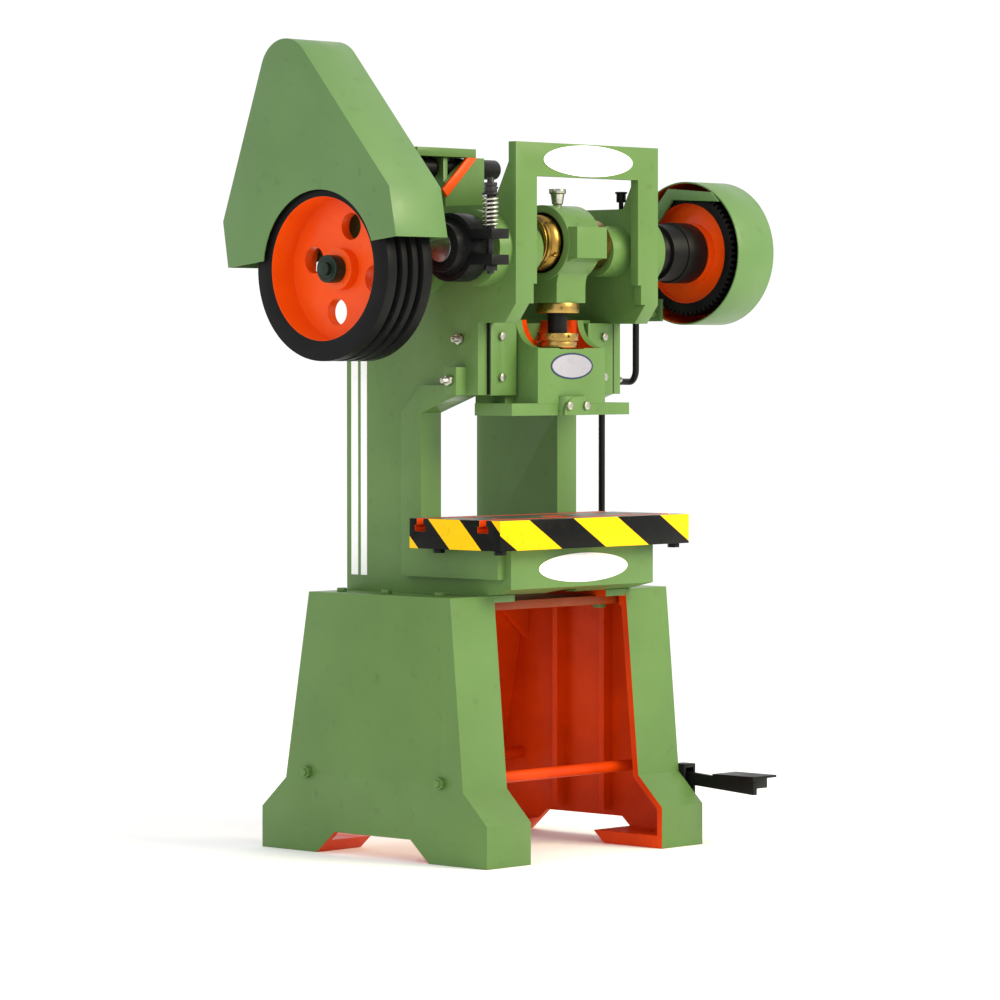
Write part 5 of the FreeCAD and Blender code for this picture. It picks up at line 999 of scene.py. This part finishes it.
@dataclass
class Rod:
    """The connecting rod over the eccentric, its screw, rings and oil cup.

    Attributes:
        pin_z: Height of the strap's middle.
        strap: Radius of the strap.
        bore: Radius of the strap's bore.
        left: Left face of the strap.
        right: Right face of the strap.
        cap: Half width of the cap boss.
        cap_front: Front of the cap boss.
        shank_front: Front of the shank.
        shank_back: Back of the shank.
        foot: Height of the shank's foot.
    """

    pin_z: float = 1.260
    strap: float = 0.0775
    bore: float = 0.0532
    left: float = -0.050
    right: float = 0.048
    cap: float = 0.0455
    cap_front: float = -0.307
    shank_front: float = -0.249
    shank_back: float = -0.173
    foot: float = 1.137

    def casting(self) -> None:
        """The strap, its cap boss and the curved shank in one casting."""
        hub = Vector(((self.left + self.right) / 2, CRANK_Y, self.pin_z))
        strap = disc(hub, "X", self.strap, self.right - self.left, 96)
        boss = block(Vector((-self.cap, self.cap_front, self.pin_z - 0.032)),
                     Vector((self.cap, self.shank_front, self.pin_z + 0.032)))
        shank = block(Vector((-0.044, self.shank_front, self.foot)),
                      Vector((0.044, self.shank_back, self.pin_z)))
        curve = self.shank_front - self.cap_front
        knee = block(Vector((-0.044, self.cap_front + 0.004, self.pin_z - 0.032 - curve)),
                     Vector((0.044, self.shank_front + 0.010, self.pin_z - 0.028)))
        sweep = disc(Vector((0.0, self.cap_front, self.pin_z - 0.032 - curve)), "X", curve, 0.12, 72)
        carved(knee, sweep)
        fused(strap, shank, knee, boss)
        bore = disc(hub, "X", self.bore, 0.2, 96)
        dial_gap = disc(Vector((self.left, CRANK_Y, self.pin_z)), "X", 0.0625, 0.012, 96)
        pins = [disc(Vector((x, self.cap_front + 0.022, self.pin_z + 0.032)), "Z", 0.0035, 0.014, 24)
                for x in (-0.028, 0.028)]
        carved(strap, bore, dial_gap, *pins)
        strap.name = "connecting_rod_casting"
        eased(strap, 0.0026, 3, 40.0)
        coat(strap, (Paint.GREEN, Paint.BLACK), self.paint)
        hand_over(strap, Body.ROD, "green_ram", "connecting_rod")

    def paint(self, spot: Vector, facing: Vector) -> int:
        """Green, with black in the bore, round the dial and on the far face's inner ring."""
        return 1 if radius_from(CRANK_Y, self.pin_z, spot) < 0.0632 else 0

    def oil_cup(self) -> None:
        """A flared open cup on a collar and a stem."""
        foot = Vector((0.0, CRANK_Y, 1.321))
        profile = [(0.0, 0.0), (0.0, 0.0090), (0.018, 0.0090), (0.020, 0.0115), (0.024, 0.0120),
                   (0.040, 0.0145), (0.042, 0.0178), (0.0505, 0.0182), (0.0505, 0.0160),
                   (0.036, 0.0130), (0.034, 0.0)]
        cup = lathe(profile, foot, "Z", 48)
        cup.name = "rod_oil_cup_flared"
        eased(cup, 0.0006)
        coat(cup, (Paint.ZINC,))
        hand_over(cup, Body.ROD, "bright_steel", "rod_oil_cup")

    def ringed(self, node: str, name: str, radius: float, low: float, high: float, grooves: int) -> None:
        """A brass ring with turned grooves and set holes.

        Args:
            node: The CAD node that it stands for.
            name: The new piece's name.
            radius: Its outside radius.
            low: Its foot.
            high: Its top.
            grooves: How many grooves run round it.
        """
        ring = softened(node, name, 0.0012)
        middle = (low + high) / 2
        axis = Vector((0.0, CRANK_Y, 0.0))
        for index in range(grooves):
            z = low + (high - low) * (index + 1) / (grooves + 1)
            cutter = lathe([(-0.0009, radius - 0.002), (0.0009, radius - 0.002), (0.0009, radius + 0.004),
                            (-0.0009, radius + 0.004)], axis + Vector((0.0, 0.0, z)), "Z", 64)
            carved(ring, cutter)
        turns = [math.radians(angle) for angle in (-52.0, -128.0, 20.0, 160.0)]
        for turn in turns:
            spot = axis + Vector((radius * math.cos(turn), radius * math.sin(turn), middle))
            hole = disc(Vector((0.0, 0.0, 0.0)), "Z", 0.0032, 0.016, 20)
            hole.rotation_euler = (0.0, math.pi / 2, turn)
            hole.location = spot
            carved(ring, settle(hole, "blank"))
        coat(ring, (Paint.BRASS_UPRIGHT,))
        hand_over(ring, Body.ROD, "brass", node)

    def collar(self) -> None:
        """The two-tier brass collar over the ball, with set holes."""
        foot = Vector((0.0, CRANK_Y, 1.0455))
        profile = [(0.0, 0.0212), (0.0, 0.0400), (0.0110, 0.0400), (0.0110, 0.0345), (0.0140, 0.0345),
                   (0.0140, 0.0430), (0.0290, 0.0430), (0.0290, 0.0212)]
        ring = lathe(profile, foot, "Z", 72)
        for turn in (-150.0, -105.0, -60.0, -15.0, 60.0, 150.0):
            angle = math.radians(turn)
            hole = disc(Vector((0.0, 0.0, 0.0)), "Z", 0.0030, 0.012, 20)
            hole.rotation_euler = (0.0, math.pi / 2, angle)
            hole.location = foot + Vector((0.0430 * math.cos(angle), 0.0430 * math.sin(angle), 0.0215))
            carved(ring, settle(hole, "blank"))
        ring.name = "screw_collar_tiers"
        eased(ring, 0.0010)
        coat(ring, (Paint.BRASS_UPRIGHT,))
        hand_over(ring, Body.ROD, "brass", "screw_collar")

    def build(self) -> None:
        """Make and dress the rod."""
        self.casting()
        self.oil_cup()
        self.ringed("lock_ring", "lock_ring_turned", 0.045, 1.116, 1.137, 1)
        self.collar()
        screw = softened("ball_screw", "ball_screw_turned", 0.0008)
        coat(screw, (Paint.BLACK,))
        hand_over(screw, Body.ROD, "black_steel", "ball_screw")


@dataclass
class Treadle:
    """The treadle, its pull rod and the trip lever."""

    edge: float = 0.0012

    def build(self) -> None:
        """Make and dress the control."""
        for node, name, body, slot in (
            ("treadle", "treadle_forged", Body.TREADLE, "black_steel"),
            ("pull_rod", "pull_rod_bent", Body.PULL_ROD, "black_steel"),
            ("rod_clevis", "rod_clevis_forged", Body.PULL_ROD, "black_steel"),
            ("lever_guide", "lever_guide_welded", Body.FRAME, "black_steel"),
            ("trip_lever", "trip_lever_cut", Body.TRIP, "black_steel"),
        ):
            piece = softened(node, name, self.edge)
            coat(piece, (Paint.BLACK,))
            hand_over(piece, body, slot, node)


# ------------------------------------------------------------------ studio


@dataclass
class Studio:
    """The floor, the lights and the camera.

    Attributes:
        eye: Where the camera stands.
        heading: Where it looks, from the back towards the right, in degrees.
        dip: How far it looks down, in degrees.
        lens: Its lens, in millimetres.
    """

    eye: tuple[float, float, float] = (-6.876, -6.461, 1.0235)
    heading: float = 47.0
    dip: float = 1.807
    lens: float = 162.0

    def lamp(self, name: str, spot: Vector, aim: Vector, size: float, power: float, tint: Colour) -> None:
        """A soft square light that points at a spot.

        Args:
            name: Name of the light.
            spot: Where it hangs.
            aim: Where it points.
            size: Side of the square.
            power: Power in watts.
            tint: Colour of the light.
        """
        light = bpy.data.lights.new(name, "AREA")
        light.size = size
        light.energy = power
        light.color = tint
        holder = bpy.data.objects.new(name, light)
        bpy.context.scene.collection.objects.link(holder)
        holder.location = spot
        holder.rotation_euler = (aim - spot).to_track_quat("-Z", "Y").to_euler()

    def build(self) -> None:
        """Set up the studio."""
        bpy.ops.object.select_all(action="DESELECT")
        bpy.ops.mesh.primitive_plane_add(size=60.0, location=(0.0, 0.0, -0.0005))
        floor = bpy.context.active_object
        floor.name = "studio_floor"
        paper = Shader("studio_paper")
        soft = paper.level(paper.noise(1.5), 0.3, 0.7, 0.0, 1.0)
        tone = paper.mix(soft, linear((0.998, 0.998, 0.998)), linear((0.994, 0.994, 0.994)))
        floor.data.materials.append(paper.finish(tone, 0.95, 0.0, paper.bump(soft, 0.01, 0.0001), 0.1))
        world = bpy.data.worlds.new("studio_air")
        bpy.context.scene.world = world
        world.use_nodes = True
        air = next(n for n in world.node_tree.nodes if n.type == "BACKGROUND")
        air.inputs["Color"].default_value = (1.0, 1.0, 1.0, 1.0)
        air.inputs["Strength"].default_value = 1.05
        aim = Vector((0.0, -0.1, 0.85))
        self.lamp("key_light", Vector((1.2, -4.2, 3.4)), aim, 2.4, 250.0, (1.0, 0.94, 0.66))
        self.lamp("fill_light", Vector((-4.6, -1.6, 2.2)), aim, 2.4, 24.0, (1.0, 1.0, 1.0))
        bpy.context.scene.view_settings.view_transform = "Standard"
        self.camera()

    def camera(self) -> None:
        """Put the camera in its place."""
        lens = bpy.data.cameras.new("studio_camera")
        lens.lens = self.lens
        lens.sensor_width = 36.0
        lens.clip_end = 60.0
        camera = bpy.data.objects.new("studio_camera", lens)
        bpy.context.scene.collection.objects.link(camera)
        camera.location = self.eye
        camera.rotation_euler = (math.radians(90.0 - self.dip), 0.0, math.radians(-self.heading))
        bpy.context.scene.camera = camera


def main() -> None:
    """Build every sub-assembly in order."""
    logging.basicConfig(level=logging.INFO, format="%(message)s")
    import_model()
    parts = (
        Stand(), PressFrame(), Bolster(), Drive(), MotorMount(),
        Crank(), Rod(), Ram(), Treadle(), Studio(),
    )
    for part in parts:
        log.info("building %s", type(part).__name__)
        part.build()


if __name__ == "__main__":
    main()
